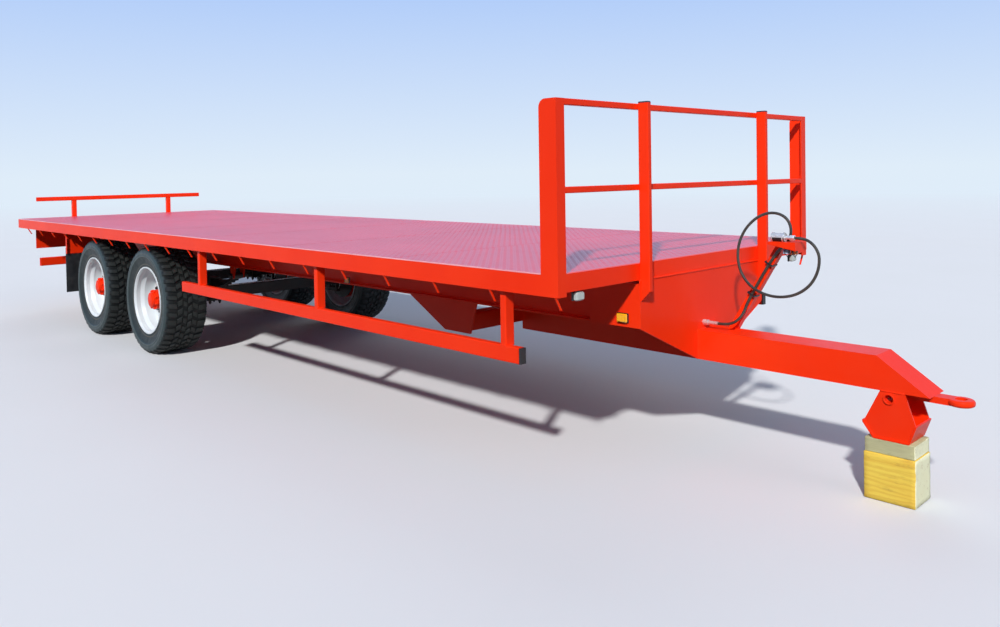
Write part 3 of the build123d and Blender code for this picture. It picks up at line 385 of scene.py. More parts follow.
def timberFinish(name, look):
    finish = Finish(name, "timber")
    sway = finish.noise(4.0, 3.0, (0.6, 1.0, 1.0))
    fibre = finish.noise(30.0, 6.0, (0.10, 1.0, 1.0), 0.7)
    across = finish.axis("Y", finish.place) - heart["y"] + heart["swayY"] * sway
    up = finish.axis("Z", finish.place) - heart["z"] + heart["swayZ"] * sway
    rings = (across * across + up * up) ** 0.5 * heart["rings"] + heart["fibre"] * fibre
    late = finish.between(abs(rings.fraction() - 0.5) * 2.0, 0.25, 0.95)
    normal = finish.node("NewGeometry", output="Normal")
    endGrain = finish.between(abs(finish.axis("X", normal)), 0.6, 0.9)
    stain = finish.patches(0.38, 0.68, 7.0, 5.0, (0.4, 1.0, 1.3))
    flecks = finish.patches(0.57, 0.70, 46.0, 4.0, (0.22, 1.0, 1.0), 0.72)
    colour = finish.blend(late * look["rings"], look["early"], look["late"])
    colour = finish.blend(stain * 0.5, colour, look["stain"])
    colour = finish.blend(finish.between(fibre, 0.58, 0.78) * 0.35, colour, look["check"])
    pale = finish.blend(late * 0.4, look["end"], look["endLate"])
    pale = finish.blend(stain * 0.3, pale, look["endStain"])
    colour = finish.blend(endGrain, colour, pale)
    colour = finish.blend(flecks * 0.40, colour, look["check"])
    saw = finish.noise(90.0, 3.0, (1.0, 0.1, 1.0))
    relief = finish.bump(late * -0.3 + fibre * 0.8 + saw * 0.35, 0.0016, 0.6)
    rough = 0.66 + 0.2 * fibre
    return finish.paint(Base_Color=colour, Roughness=rough, Normal=relief, Specular_IOR_Level=0.3)


deckPaint = deckFinish(deckLook)
tyreRubber = tyreFinish(tyreLook)
blackRubber = plainFinish("blackRubber", "rubber", rubberLook)
hoseRubber = plainFinish("hoseRubber", "rubber", hoseLook)
blackPlastic = plainFinish("blackPlastic", "black_plastic", plasticLook)
brightSteel = plainFinish("platedSteel", "bright_steel", steelLook)
orangePlastic = plainFinish("orangeCap", "amber_lens", orangeLook)
bluePlastic = plainFinish("paleBlueCap", "white_lens", blueLook)
amberLens = lensFinish("amberLens", "amber_lens", (0.82, 0.30, 0.004, 1), (0.96, 0.52, 0.01, 1))
whiteLens = lensFinish("clearLens", "white_lens", (0.30, 0.34, 0.32, 1), (0.54, 0.58, 0.54, 1))
redLens = lensFinish("redLens", "red_lens", (0.26, 0.004, 0.004, 1), (0.52, 0.012, 0.010, 1))
sawnTimber = timberFinish("sawnTimber", blockLook)
greyTimber = timberFinish("greyTimber", plankLook)

finishes = [redPaint, deckPaint, whitePaint, blackPaint, tyreRubber, blackRubber, brightSteel]
finishes += [blackPlastic, amberLens, whiteLens, redLens, sawnTimber]
finishOf = {finish.slot: finish for finish in finishes}
for row in frame["record"]["subparts"]:
    node = frame["nodes"][row["node"]]
    node.data.materials.clear()
    node.data.materials.append(finishOf[row["material_slot"]].material)
print("finishes set on", len(frame["nodes"]), "nodes")


def facing(at, axis, spin=0.0):  # a place whose Z points along axis
    turn = Vector(axis).to_track_quat("Z", "Y").to_matrix().to_4x4()
    return Matrix.Translation(Vector(at)) @ turn @ Matrix.Rotation(spin, 4, "Z")


def addObject(name, data):
    thing = bpy.data.objects.new(name, data)
    bpy.context.collection.objects.link(thing)
    return thing


def meshOf(name, bm):
    bmesh.ops.recalc_face_normals(bm, faces=bm.faces)
    mesh = bpy.data.meshes.new(name)
    bm.to_mesh(mesh)
    bm.free()
    return mesh


def keepMesh(name, mesh, finish, body="chassis", crease=32):
    mesh.polygons.foreach_set("use_smooth", [True] * len(mesh.polygons))
    mesh.set_sharp_from_angle(angle=math.radians(crease))
    mesh.materials.append(finish.material)
    piece = addObject(name, mesh)
    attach(piece, body)
    return piece


def keepPiece(name, bm, finish, body="chassis", crease=32):
    return keepMesh(name, meshOf(name, bm), finish, body, crease)


def ring(bm, place, radius, along, count):
    angles = [2 * math.pi * i / count for i in range(count)]
    points = [Vector((radius * math.cos(angle), radius * math.sin(angle), along)) for angle in angles]
    return [bm.verts.new(place @ point) for point in points]


def skin(bm, first, second):
    for i in range(len(first)):
        j = (i + 1) % len(first)
        bm.faces.new((first[i], first[j], second[j], second[i]))


def closeEnds(bm, rings):
    bm.faces.new(rings[0][::-1])
    bm.faces.new(rings[-1])


def loft(bm, rings):  # skin over the rings in turn, closed at both ends
    for first, second in zip(rings, rings[1:]):
        skin(bm, first, second)
    closeEnds(bm, rings)


def lathe(bm, place, profile, count=24):  # turned solid, from a line of (radius, height)
    loft(bm, [ring(bm, place, radius, along, count) for radius, along in profile])


def band(bm, place, profile, count=28):  # ring whose section is the closed line of (radius, height)
    rings = [ring(bm, place, radius, along, count) for radius, along in profile]
    for first, second in zip(rings, rings[1:] + rings[:1]):
        skin(bm, first, second)


def slab(bm, low, high, edge=0.002):  # block with chamfered edges
    low, high = Vector(low), Vector(high)
    rings = []
    ends, walls = (edge, edge * 0.6), (0.0, edge)
    layers = ((low.z, ends), (low.z + edge, walls), (high.z - edge, walls), (high.z, ends))
    for z, (inset, cut) in layers:
        x0, x1, y0, y1 = low.x + inset, high.x - inset, low.y + inset, high.y - inset
        outline = ((x0 + cut, y0), (x1 - cut, y0), (x1, y0 + cut), (x1, y1 - cut),
                   (x1 - cut, y1), (x0 + cut, y1), (x0, y1 - cut), (x0, y0 + cut))
        rings.append([bm.verts.new((x, y, z)) for x, y in outline])
    loft(bm, rings)


def block(bm, x, y, z, edge=0.002):  # slab between two values on each axis, in either order
    low, high = zip(sorted(x), sorted(y), sorted(z))
    slab(bm, low, high, edge)


def hexNut(bm, at, axis, size, spin=0.0):  # washer, nut and the end of its stud
    place = facing(at, axis, spin)
    flat, height, stud, base = size["across"] / 2, size["height"], size["stud"], size["washer"]
    corner = flat / math.cos(math.pi / 6)
    tip = base + height + size["out"]
    lathe(bm, place, [(flat * 1.34, -0.001), (flat * 1.34, base), (flat * 1.28, base * 1.2)], 20)
    lathe(bm, place, [(corner * 0.94, base), (corner, base + 0.1 * height), (corner, base + 0.84 * height),
                      (corner * 0.88, base + height)], 6)
    lathe(bm, place, [(stud, base), (stud, tip - 0.25 * stud), (stud * 0.78, tip)], 12)


def bead(bm, start, end, radius=0.004, step=0.005):  # a weld with the ripple of its runs
    start, end = Vector(start), Vector(end)
    axis = end - start
    count = max(2, int(axis.length / step))
    profile = [(radius * 0.3, 0.0)]
    for i in range(count):
        ripple = 0.86 + 0.14 * (i % 2) + 0.05 * math.sin(i * 1.7)
        profile.append((radius * ripple, axis.length * (i + 0.5) / count))
    profile.append((radius * 0.3, axis.length))
    lathe(bm, facing(start, axis), profile, 7)


def pipe(bm, points, radius, count=10):  # round bar or pipe with mitred corners
    points = [Vector(point) for point in points]
    rings = []
    for i, point in enumerate(points):
        before = (point - points[i - 1]).normalized() if i else (points[1] - point).normalized()
        after = (points[i + 1] - point).normalized() if i < len(points) - 1 else before
        axis = (before + after).normalized()
        widen = 1.0 / max(0.5, axis.dot(before))
        rings.append(ring(bm, facing(point, axis), radius * min(widen, 1.4), 0.0, count))
    for first, second in zip(rings, rings[1:]):
        offset = min(range(count), key=lambda k: (second[k].co - first[0].co).length)
        skin(bm, first, second[offset:] + second[:offset])
    closeEnds(bm, rings)


# hose from the bulkhead fitting, up the stand, round in its parked loop to the coupling
hose = {
    "radius": 0.0075, "length": 2.05,
    "route": [  # forward of the deck's front, to the left, above the deck
        (0.096, -0.03, -0.372), (0.15, -0.03, -0.372), (0.197, -0.015, -0.353), (0.228, 0.008, -0.306),
        (0.238, 0.0315, -0.244), (0.399, 0.0315, 0.026), (0.466, 0.0315, 0.081), (0.486, 0.031, 0.122),
        (0.486, 0.031, 0.166), (0.467, 0.03, 0.205), (0.43, 0.029, 0.229), (0.383, 0.027, 0.236),
        (0.33, 0.025, 0.224), (0.277, 0.022, 0.191), (0.229, 0.018, 0.137), (0.197, 0.013, 0.062),
        (0.194, 0.008, -0.022), (0.219, 0.003, -0.098), (0.276, -0.001, -0.16), (0.355, -0.003, -0.194),
        (0.444, -0.004, -0.2), (0.531, -0.004, -0.178), (0.602, -0.003, -0.126), (0.642, -0.002, -0.056),
        (0.652, -0.002, 0.014), (0.639, -0.002, 0.057), (0.61, -0.002, 0.092), (0.568, -0.002, 0.111),
        (0.521, -0.002, 0.111),
    ],
}


def makeHose():
    points = [Vector((xFront + x, y, deckTop + z)) for x, y, z in hose["route"]]
    curve = bpy.data.curves.new("hydraulicHose", "CURVE")
    curve.dimensions = "3D"
    curve.bevel_depth = hose["radius"]
    curve.bevel_resolution = 4
    curve.resolution_u = 10
    curve.use_fill_caps = True
    spline = curve.splines.new("NURBS")
    spline.points.add(len(points) - 1)
    for point, at in zip(spline.points, points):
        point.co = (*at, 1.0)
    spline.order_u = 3
    spline.use_endpoint_u = True
    curve.materials.append(hoseRubber.material)
    piece = addObject("hydraulicHose", curve)
    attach(piece, "chassis")
    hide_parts("hose")
    return piece, points


hosePiece, hosePoints = makeHose()

# knurled sleeve and hexagon nose on the quick coupling
couplingLow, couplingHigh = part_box("hose_coupling")
couplingY, couplingZ = (couplingLow.y + couplingHigh.y) / 2, (couplingLow.z + couplingHigh.z) / 2
couplingRadius = (couplingHigh.z - couplingLow.z) / 2
sleeve = {
    "start": 0.012, "ridges": 9, "pitch": 0.0045, "proud": 0.0012, "groove": -0.0002, "noseBack": 0.012,
    "nose": [(0.0135, -0.012), (0.0150, -0.010), (0.0150, 0.010), (0.0125, 0.014)],
}


def onCoupling(x):  # a place on the coupling's axis
    return facing((x, couplingY, couplingZ), (1, 0, 0))


def makeSleeve():
    bm = bmesh.new()
    ridge, groove = couplingRadius + sleeve["proud"], couplingRadius + sleeve["groove"]
    profile = [(groove, 0.0)]
    for i in range(sleeve["ridges"]):
        at = i * sleeve["pitch"]
        profile += [(ridge, at + 0.001), (ridge, at + 0.003), (groove, at + 0.004)]
    lathe(bm, onCoupling(couplingLow.x + sleeve["start"]), profile, 28)
    lathe(bm, onCoupling(couplingHigh.x - sleeve["noseBack"]), sleeve["nose"], 6)
    return keepPiece("couplingSleeve", bm, brightSteel)


sleevePiece = makeSleeve()
print("hose laid")

# tyre: a carcass with rings on its sidewall, and rows of tread blocks round it
tyre = {
    "segments": 120, "pitches": 40, "top": 0.470, "chamfer": 0.0025, "sink": 0.003, "crownFrom": 0.425,
    "carcass": [  # radius, out from the middle
        (0.2835, 0.1205), (0.2840, 0.1575), (0.2950, 0.1590), (0.3020, 0.1612), (0.3065, 0.1650),
        (0.3120, 0.1660), (0.3170, 0.1642), (0.3300, 0.1668), (0.3520, 0.1722), (0.3740, 0.1785),
        (0.3835, 0.1820), (0.3865, 0.1864), (0.3892, 0.1874), (0.3922, 0.1866), (0.3965, 0.1850),
        (0.4080, 0.1852), (0.4110, 0.1866), (0.4150, 0.1866), (0.4180, 0.1850), (0.4320, 0.1815),
        (0.4430, 0.1735), (0.4510, 0.1600), (0.4555, 0.1300), (0.4570, 0.0800), (0.4575, 0.0),
    ],
    "rows": [  # middle, width, share of the pitch, phase, slant
        (0.021, 0.031, 0.57, 0.00, 0.5), (0.066, 0.040, 0.56, 0.45, -0.5),
    ],
    "shoulder": [  # out from the middle, radius of the lug's face
        (0.094, 0.4700), (0.125, 0.4697), (0.146, 0.4680), (0.160, 0.4625), (0.1705, 0.4540),
        (0.1775, 0.4455),
    ],
    "lugShares": (0.47, 0.55), "lugSlant": 0.15, "shifts": {1: 0.25, -1: 0.75}, "uneven": 0.03, "seed": 5,
}


def carcassRadius(out):
    stations = sorted((a, r) for r, a in tyre["carcass"] if r > tyre["crownFrom"])
    for (a0, r0), (a1, r1) in zip(stations, stations[1:]):
        if a0 <= out <= a1:
            return r0 + (r1 - r0) * (out - a0) / (a1 - a0)
    return stations[-1][1]


def treadLug(verts, faces, start, width, stations, way, slant):
    rings = []
    chamfer = tyre["chamfer"]
    cut = chamfer / tyre["top"]
    (inner, innerTop), (outer, outerTop) = stations[0], stations[-1]
    edges = [(inner, innerTop - chamfer), (inner + chamfer, innerTop)]
    edges += stations[1:] + [(outer + 0.001, outerTop - chamfer)]
    for out, top in edges:
        lean = slant * (out - inner) / tyre["top"]
        base = carcassRadius(out) - tyre["sink"]
        rising = [(start - cut, base), (start, top - chamfer), (start + cut, top)]
        falling = [(start + width - cut, top), (start + width, top - chamfer), (start + width + cut, base)]
        line = []
        for angle, radius in rising + falling:
            line.append(len(verts))
            verts.append((radius * math.cos(angle + lean), way * out, radius * math.sin(angle + lean)))
        rings.append(line)
    for first, second in zip(rings, rings[1:]):
        for i in range(len(first) - 1):
            faces.append((first[i], first[i + 1], second[i + 1], second[i]))
    faces.append(tuple(rings[0][::-1]))
    faces.append(tuple(rings[-1]))


def tyreMesh():
    verts, faces = [], []
    half, count = tyre["carcass"], tyre["segments"]
    profile = half + [(r, -a) for r, a in reversed(half[:-1])]
    for radius, out in profile:
        for i in range(count):
            angle = 2 * math.pi * i / count
            verts.append((radius * math.cos(angle), out, radius * math.sin(angle)))
    for j in range(len(profile)):
        first, second = j * count, (j + 1) % len(profile) * count
        for i in range(count):
            k = (i + 1) % count
            faces.append((first + i, first + k, second + k, second + i))
    pitch, top = 2 * math.pi / tyre["pitches"], tyre["top"]
    random.seed(tyre["seed"])
    for n in range(tyre["pitches"]):
        for way in sides:
            shift = pitch * tyre["shifts"][way]
            for middle, wide, share, phase, slant in tyre["rows"]:
                start = (n + phase) * pitch + shift + random.uniform(-tyre["uneven"], tyre["uneven"]) * pitch
                stations = [(middle - wide / 2, top), (middle + wide / 2, top)]
                treadLug(verts, faces, start, share * pitch, stations, way, slant)
            wide = tyre["lugShares"][n % 2] * pitch
            treadLug(verts, faces, n * pitch + shift, wide, tyre["shoulder"], way, tyre["lugSlant"])
    mesh = bpy.data.meshes.new("tyreBody")
    mesh.from_pydata(verts, [], faces)
    bm = bmesh.new()
    bm.from_mesh(mesh)
    bmesh.ops.recalc_face_normals(bm, faces=bm.faces)
    bm.to_mesh(mesh)
    bm.free()
    return mesh


wheelNut = {
    "circle": 0.1125, "count": 10, "across": 0.032, "height": 0.026, "stud": 0.011, "out": 0.012,
    "washer": 0.004,
}
hubNut = {
    "circle": 0.0772, "count": 8, "across": 0.0195, "height": 0.014, "stud": 0.007, "out": 0.005,
    "washer": 0.002,
}
hubCap = {"radius": 0.056, "rise": 0.012, "lap": 0.001}
valve = {
    "circle": 0.228, "angle": 0.95, "out": 0.015,
    "profile": [(0.008, 0.0), (0.008, 0.006), (0.0045, 0.010), (0.0045, 0.045), (0.006, 0.047),
                (0.006, 0.060), (0.004, 0.063)],
}
# degrees from wheel to wheel, the disc's face from the middle, the hub's flange from its end
wheelFit = {"turn": 37, "disc": 0.022, "flange": 0.030}


def dressWheel(name, body, middle, mesh):
    way = 1 if middle.y > 0 else -1
    axis = Vector((0, way, 0))

    def onFace(circle, angle, out):
        return Vector((middle.x + circle * math.cos(angle), way * out, middle.z + circle * math.sin(angle)))

    copy = mesh.copy()
    turn = Matrix.Rotation(math.radians(wheelFit["turn"] * (wheelNames.index(name) + 1)), 4, "Y")
    copy.transform(Matrix.Translation(middle) @ turn)
    piece = keepMesh("tyreTread_" + name, copy, tyreRubber, body, 40)
    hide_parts("tyre_" + name)
    end = max(abs(corner.y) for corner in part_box("hub_" + name))
    disc = abs(middle.y) + wheelFit["disc"]
    nuts, heads, stem = bmesh.new(), bmesh.new(), bmesh.new()
    for size, bm, face in ((wheelNut, nuts, disc), (hubNut, heads, end - wheelFit["flange"])):
        for i in range(size["count"]):
            angle = 2 * math.pi * (i + 0.5) / size["count"]
            hexNut(bm, onFace(size["circle"], angle, face), axis, size, angle)
    edge, rise = hubCap["radius"], hubCap["rise"]
    dome = [(edge, 0.0), (edge, 0.35 * rise), (0.93 * edge, 0.6 * rise), (0.5 * edge, 0.85 * rise),
            (0.2 * edge, rise)]
    lathe(heads, facing(onFace(0.0, 0.0, end - hubCap["lap"]), axis), dome, 32)
    foot = onFace(valve["circle"], valve["angle"], abs(middle.y) + valve["out"])
    lathe(stem, facing(foot, axis), valve["profile"], 12)
    keepPiece("wheelNuts_" + name, nuts, blackPaint, body)
    keepPiece("hubNuts_" + name, heads, redPaint, body)
    keepPiece("valveStem_" + name, stem, brightSteel, body)


treadMesh = tyreMesh()
for wheelName in wheelNames:
    dressWheel(wheelName, "wheel_" + wheelName, wheelMiddles[wheelName], treadMesh)
print("wheels dressed,", len(treadMesh.polygons), "faces a tyre")

# chequer plate: low flat-topped lozenges turned this way and that, on sheets with welded seams
chequer = {
    "pitch": 0.0255, "long": 0.0225, "wide": 0.0078, "rise": 0.0007, "top": 0.66, "sink": 0.0004,
    "margin": 0.020, "sheets": 7, "seamRoom": 0.011, "rearGap": 0.055, "frontGap": 0.030,
}
seamRun = {"radius": 0.0014, "step": 0.012, "sink": 0.0004, "short": 0.01}
edgeRun = {"radius": 0.0042, "in": 0.0032, "down": 0.0034, "short": 0.002}
sheetLength = (xFront - xRear) / chequer["sheets"]


def lozenge(verts, faces, x, y, way):
    first, slope = len(verts), math.sqrt(0.5)
    for shrink, up in ((1.0, -chequer["sink"]), (chequer["top"], chequer["rise"])):
        long, wide = shrink * chequer["long"] / 2, shrink * chequer["wide"] / 2
        for along, across in ((-long, 0), (0, -wide), (long, 0), (0, wide)):
            turned = (along - way * across) * slope, (way * along + across) * slope
            verts.append((x + turned[0], y + turned[1], deckTop + up))
    low, top = range(first, first + 4), range(first + 4, first + 8)
    faces.append(tuple(top))
    faces.append(tuple(reversed(low)))
    for i in range(4):
        j = (i + 1) % 4
        faces.append((low[i], low[j], top[j], top[i]))


def makeSheet(number):
    verts, faces = [], []
    pitch, margin, room = chequer["pitch"], chequer["margin"], chequer["seamRoom"]
    start = max(xRear + number * sheetLength + room, xRear + chequer["rearGap"] + margin)
    end = min(xRear + (number + 1) * sheetLength - room, xFront - chequer["frontGap"] - margin)
    countX = int((end - start) / pitch)
    countY = int((2 * halfWidth - 2 * margin) / pitch)
    for i in range(countX + 1):
        x = start + (end - start - countX * pitch) / 2 + i * pitch
        for j in range(countY + 1):
            lozenge(verts, faces, x, (j - countY / 2) * pitch, 1 if (i + j) % 2 else -1)
    mesh = bpy.data.meshes.new("deckSheet")
    mesh.from_pydata(verts, [], faces)
    keepMesh(f"deckSheet_{number + 1}", mesh, deckPaint, crease=4)


def makeRuns():
    seams, edges = bmesh.new(), bmesh.new()
    reach, top = halfWidth - seamRun["short"], deckTop - seamRun["sink"]
    for i in range(1, chequer["sheets"]):
        x = xRear + sheetLength * i
        bead(seams, (x, -reach, top), (x, reach, top), seamRun["radius"], seamRun["step"])
    keepPiece("deckSeams", seams, deckPaint, crease=50)
    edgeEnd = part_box("corner_posts")[0].x
    for way in sides:
        y, z = way * (halfWidth - edgeRun["in"]), deckTop - edgeRun["down"]
        pipe(edges, [(xRear + edgeRun["short"], y, z), (edgeEnd, y, z)], edgeRun["radius"], 16)
    # the edge runs wear the paler paint, a painted highlight along both deck edges
    keepPiece("deckEdges", edges, edgeHighlightPaint, crease=60)


for sheet in range(chequer["sheets"]):
    makeSheet(sheet)
makeRuns()
print("deck plated")

# timbers below the skid, with worn faces
timber = {"edge": 0.004, "cuts": 10, "rough": 0.0016, "long": 0.05, "ends": 0.006}


def makeTimber(name, node, finish, seed):
    low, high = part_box(node)
    bm = bmesh.new()
    slab(bm, low, high, timber["edge"])
    longEdges = [edge for edge in bm.edges if edge.calc_length() > timber["long"]]
    bmesh.ops.subdivide_edges(bm, edges=longEdges, cuts=timber["cuts"], use_grid_fill=True)
    random.seed(seed)
    middle = (low + high) / 2
    for vert in bm.verts:
        if low.z + timber["ends"] < vert.co.z < high.z - timber["ends"]:
            vert.co += (middle - vert.co).normalized() * timber["rough"] * random.random()
    bmesh.ops.triangulate(bm, faces=[face for face in bm.faces if len(face.verts) > 4])
    piece = keepPiece(name, bm, finish, crease=50)
    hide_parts(node)


makeTimber("timberPlank", "timber_plank", greyTimber, 12)
makeTimber("timberBlock", "timber_block", sawnTimber, 11)

# lamps: lenses with ribs on black bases, in place of the plain solids
lamp = {"base": 0.007, "lip": 0.002, "round": 0.005, "rib": 0.0012, "ribEdge": 0.0005}
sideLamp = {"depth": 0.020, "ribs": 6, "inX": 0.008, "inZ": 0.007}
frontLamp = {
    "width": 0.060, "stalk": 0.008, "stalkIn": 0.012, "lap": 0.004, "back": 0.010, "rim": 0.001,
    "round": 0.006, "ribs": 5, "inY": 0.009, "inZ": 0.008,
}
rearLamp = {
    "width": 0.230, "frame": 0.006, "cuts": (0.006, 0.075, 0.150), "joint": 0.001, "ribs": 5, "inY": 0.008,
    "inZ": 0.014, "shell": 0.40, "lens": 0.42,  # shares of the depth
}


def ribs(bm, x, y, z, axis, count):  # raised bars on a lens, side by side along an axis
    low, high = [Vector(corner) for corner in zip(sorted(x), sorted(y), sorted(z))]
    step = (high[axis] - low[axis]) / count
    for i in range(count):
        start, end = low.copy(), high.copy()
        start[axis], end[axis] = low[axis] + step * (i + 0.3), low[axis] + step * (i + 0.7)
        slab(bm, start, end, lamp["ribEdge"])


def makeSideLamps():
    lens, base = bmesh.new(), bmesh.new()
    low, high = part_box("side_lamps")
    lip, rib, inX, inZ = lamp["lip"], lamp["rib"], sideLamp["inX"], sideLamp["inZ"]
    for way in sides:
        face, wall = way * high.y, way * (high.y - sideLamp["depth"])
        step = wall + way * lamp["base"]
        block(base, (low.x - lip, high.x + lip), (wall, step), (low.z - lip, high.z + lip))
        block(lens, (low.x, high.x), (step, face - way * rib), (low.z, high.z), lamp["round"])
        ribs(lens, (low.x + inX, high.x - inX), (face - way * 2 * rib, face), (low.z + inZ, high.z - inZ),
             0, sideLamp["ribs"])
    piece = keepPiece("sideLampLenses", lens, amberLens)
    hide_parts("side_lamps")
    keepPiece("sideLampBases", base, blackPlastic)


def makeFrontLamps():
    lens, base = bmesh.new(), bmesh.new()
    low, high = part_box("front_lamps")
    rib, rim, lap, stalkIn = lamp["rib"], frontLamp["rim"], frontLamp["lap"], frontLamp["stalkIn"]
    inY, inZ = frontLamp["inY"], frontLamp["inZ"]
    back, top = low.x + frontLamp["back"], high.z - frontLamp["stalk"]
    for way in sides:
        right, left = sorted((way * high.y, way * (high.y - frontLamp["width"])))
        block(base, (low.x, back + lap), (right + stalkIn, left - stalkIn), (top - lap, high.z))
        block(base, (low.x, back), (right, left), (low.z, top))
        block(lens, (back - rim, high.x - rib), (right + rim, left - rim), (low.z + rim, top),
              frontLamp["round"])
        ribs(lens, (high.x - 2 * rib, high.x), (right + inY, left - inY), (low.z + inZ, top - inZ),
             1, frontLamp["ribs"])
    piece = keepPiece("frontLampLenses", lens, whiteLens)
    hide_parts("front_lamps")
    keepPiece("frontLampBases", base, blackPlastic)


def makeRearLamps():
    shells, reds, ambers = bmesh.new(), bmesh.new(), bmesh.new()
    low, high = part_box("rear_lamps")
    depth, rib, rim, joint = high.x - low.x, lamp["rib"], rearLamp["frame"], rearLamp["joint"]
    inY, inZ = rearLamp["inY"], rearLamp["inZ"]
    back, front = low.x + rearLamp["shell"] * depth, low.x + rearLamp["lens"] * depth
    for way in sides:
        outer, inner = way * high.y, way * (high.y - rearLamp["width"])
        block(shells, (back, high.x), (outer, inner), (low.z, high.z), rim)
        cuts = [outer - way * cut for cut in rearLamp["cuts"]] + [inner + way * rim]
        for bm, first, second in zip((ambers, reds, reds), cuts, cuts[1:]):
            right, left = sorted((first, second))
            block(bm, (low.x + rib, front), (right + joint, left - joint), (low.z + rim, high.z - rim),
                  lamp["round"])
            ribs(bm, (low.x, low.x + 2 * rib), (right + inY, left - inY), (low.z + inZ, high.z - inZ),
                 1, rearLamp["ribs"])
    piece = keepPiece("rearLampReds", reds, redLens)
    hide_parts("rear_lamps")
    keepPiece("rearLampAmbers", ambers, amberLens)
    keepPiece("rearLampShells", shells, blackPlastic)


makeSideLamps()
makeFrontLamps()
makeRearLamps()

# red triangles on the rear valance, with a raised rim
triangle = {
    "side": 0.150, "at": 0.62, "up": 0.030,
    "rings": [(0.0, 1.0), (-0.005, 1.0), (-0.007, 0.94), (-0.007, 0.80), (-0.005, 0.76)],  # depth, size
}


def makeTriangles():
    bm = bmesh.new()
    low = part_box("rear_valance")[0]
    side, bottom = triangle["side"], low.z + triangle["up"]
    for way in sides:
        y = way * triangle["at"]
        corners = [(y - side / 2, bottom), (y + side / 2, bottom), (y, bottom + side * 0.866)]
        middle = Vector((y, bottom + side * 0.289))
        rings = []
        for depth, size in triangle["rings"]:
            line = [middle + (Vector(corner) - middle) * size for corner in corners]
            rings.append([bm.verts.new((low.x + depth, point.x, point.y)) for point in line])
        loft(bm, rings)
    keepPiece("rearTriangles", bm, redLens)


makeTriangles()

# amber reflectors screwed to the main beams' webs
reflector = {
    "back": 2.589, "up": 0.033, "long": 0.050, "high": 0.042, "plate": 0.003, "ear": 0.010, "lens": 0.008,
    "rim": 0.002, "round": 0.003, "screw": 0.003,
}


def makeReflectors():
    plates, ambers = bmesh.new(), bmesh.new()
    long, high, ear, rim = reflector["long"] / 2, reflector["high"] / 2, reflector["ear"], reflector["rim"]
    x, z = xFront - reflector["back"], beamLow.z + reflector["up"]
    screw = reflector["screw"]
    for way in sides:
        wall = way * beamHigh.y
        plate = wall + way * reflector["plate"]
        face = wall + way * (reflector["plate"] + reflector["lens"])
        block(plates, (x - long - ear, x + long + ear), (wall, plate), (z - high, z + high), 0.001)
        block(ambers, (x - long, x + long), (plate, face), (z - high + rim, z + high - rim),
              reflector["round"])
        for along in (-1, 1):
            head = facing((x + along * (long + ear / 2), plate, z), (0, way, 0))
            lathe(plates, head, [(screw, -0.0005), (screw, 0.001), (0.5 * screw, 0.002)], 10)
    keepPiece("reflectorPlates", plates, blackPlastic)
    keepPiece("reflectorLenses", ambers, amberLens)


makeReflectors()
print("lamps and signs fitted")

# nuts below the spring clamps, on the spring pins and on the flaps, and the flaps' red strips
clampNut = {"across": 0.024, "height": 0.015, "stud": 0.008, "out": 0.012, "washer": 0.003}
pinNut = {"across": 0.036, "height": 0.018, "stud": 0.012, "out": 0.008, "washer": 0.003}
flapNut = {"across": 0.017, "height": 0.008, "stud": 0.005, "out": 0.006, "washer": 0.0025}
springs = {"beamY": 0.562, "eye": 0.025, "pinZ": 0.672, "pinOut": 0.059, "barX": 0.05875, "barY": 0.04675}
flap = {
    "bolts": 4, "first": 0.045, "pitch": 0.085, "down": 0.030,
    "strip": (0.004, 0.341), "stripDown": (0.046, 0.014), "thick": 0.003,
}


def makeNuts():
    clampBolts, pinBolts, flapBolts, strips = bmesh.new(), bmesh.new(), bmesh.new(), bmesh.new()
    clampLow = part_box("spring_clamps")[0].z
    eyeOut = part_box("leaf_springs")[1].x - springs["eye"] - axleX["front"]
    for way in sides:
        beam = way * springs["beamY"]
        for x in axleX.values():
            for along in (1, -1):
                for across in (1, -1):
                    at = (x + along * springs["barX"], beam + across * springs["barY"], clampLow)
                    hexNut(clampBolts, at, (0, 0, -1), clampNut, 0.2)
                for out in (1, -1):
                    at = (x + along * eyeOut, beam + out * springs["pinOut"], springs["pinZ"])
                    hexNut(pinBolts, at, (0, out, 0), pinNut, 0.3)
    low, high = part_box("mudflaps")
    for way in sides:
        for i in range(flap["bolts"]):
            y = way * (high.y - flap["first"] - i * flap["pitch"])
            hexNut(flapBolts, (low.x, y, high.z - flap["down"]), (-1, 0, 0), flapNut, 0.1 * i)
        across = [way * (high.y - inset) for inset in flap["strip"]]
        up = [high.z - down for down in flap["stripDown"]]
        block(strips, (low.x - flap["thick"], low.x), across, up, 0.0008)
    keepPiece("clampNuts", clampBolts, blackPaint)
    keepPiece("pinNuts", pinBolts, blackPaint)
    keepPiece("flapBolts", flapBolts, brightSteel)
    keepPiece("flapStrips", strips, redPaint)


makeNuts()

# brake pipes from the bulkhead fitting along the left beam to the rams
pipes = {
    "radius": 0.005, "beamY": 0.495, "along": 0.735, "over": 0.535, "ramY": 0.791, "ramZ": 0.364,
    "ahead": 0.068,
}


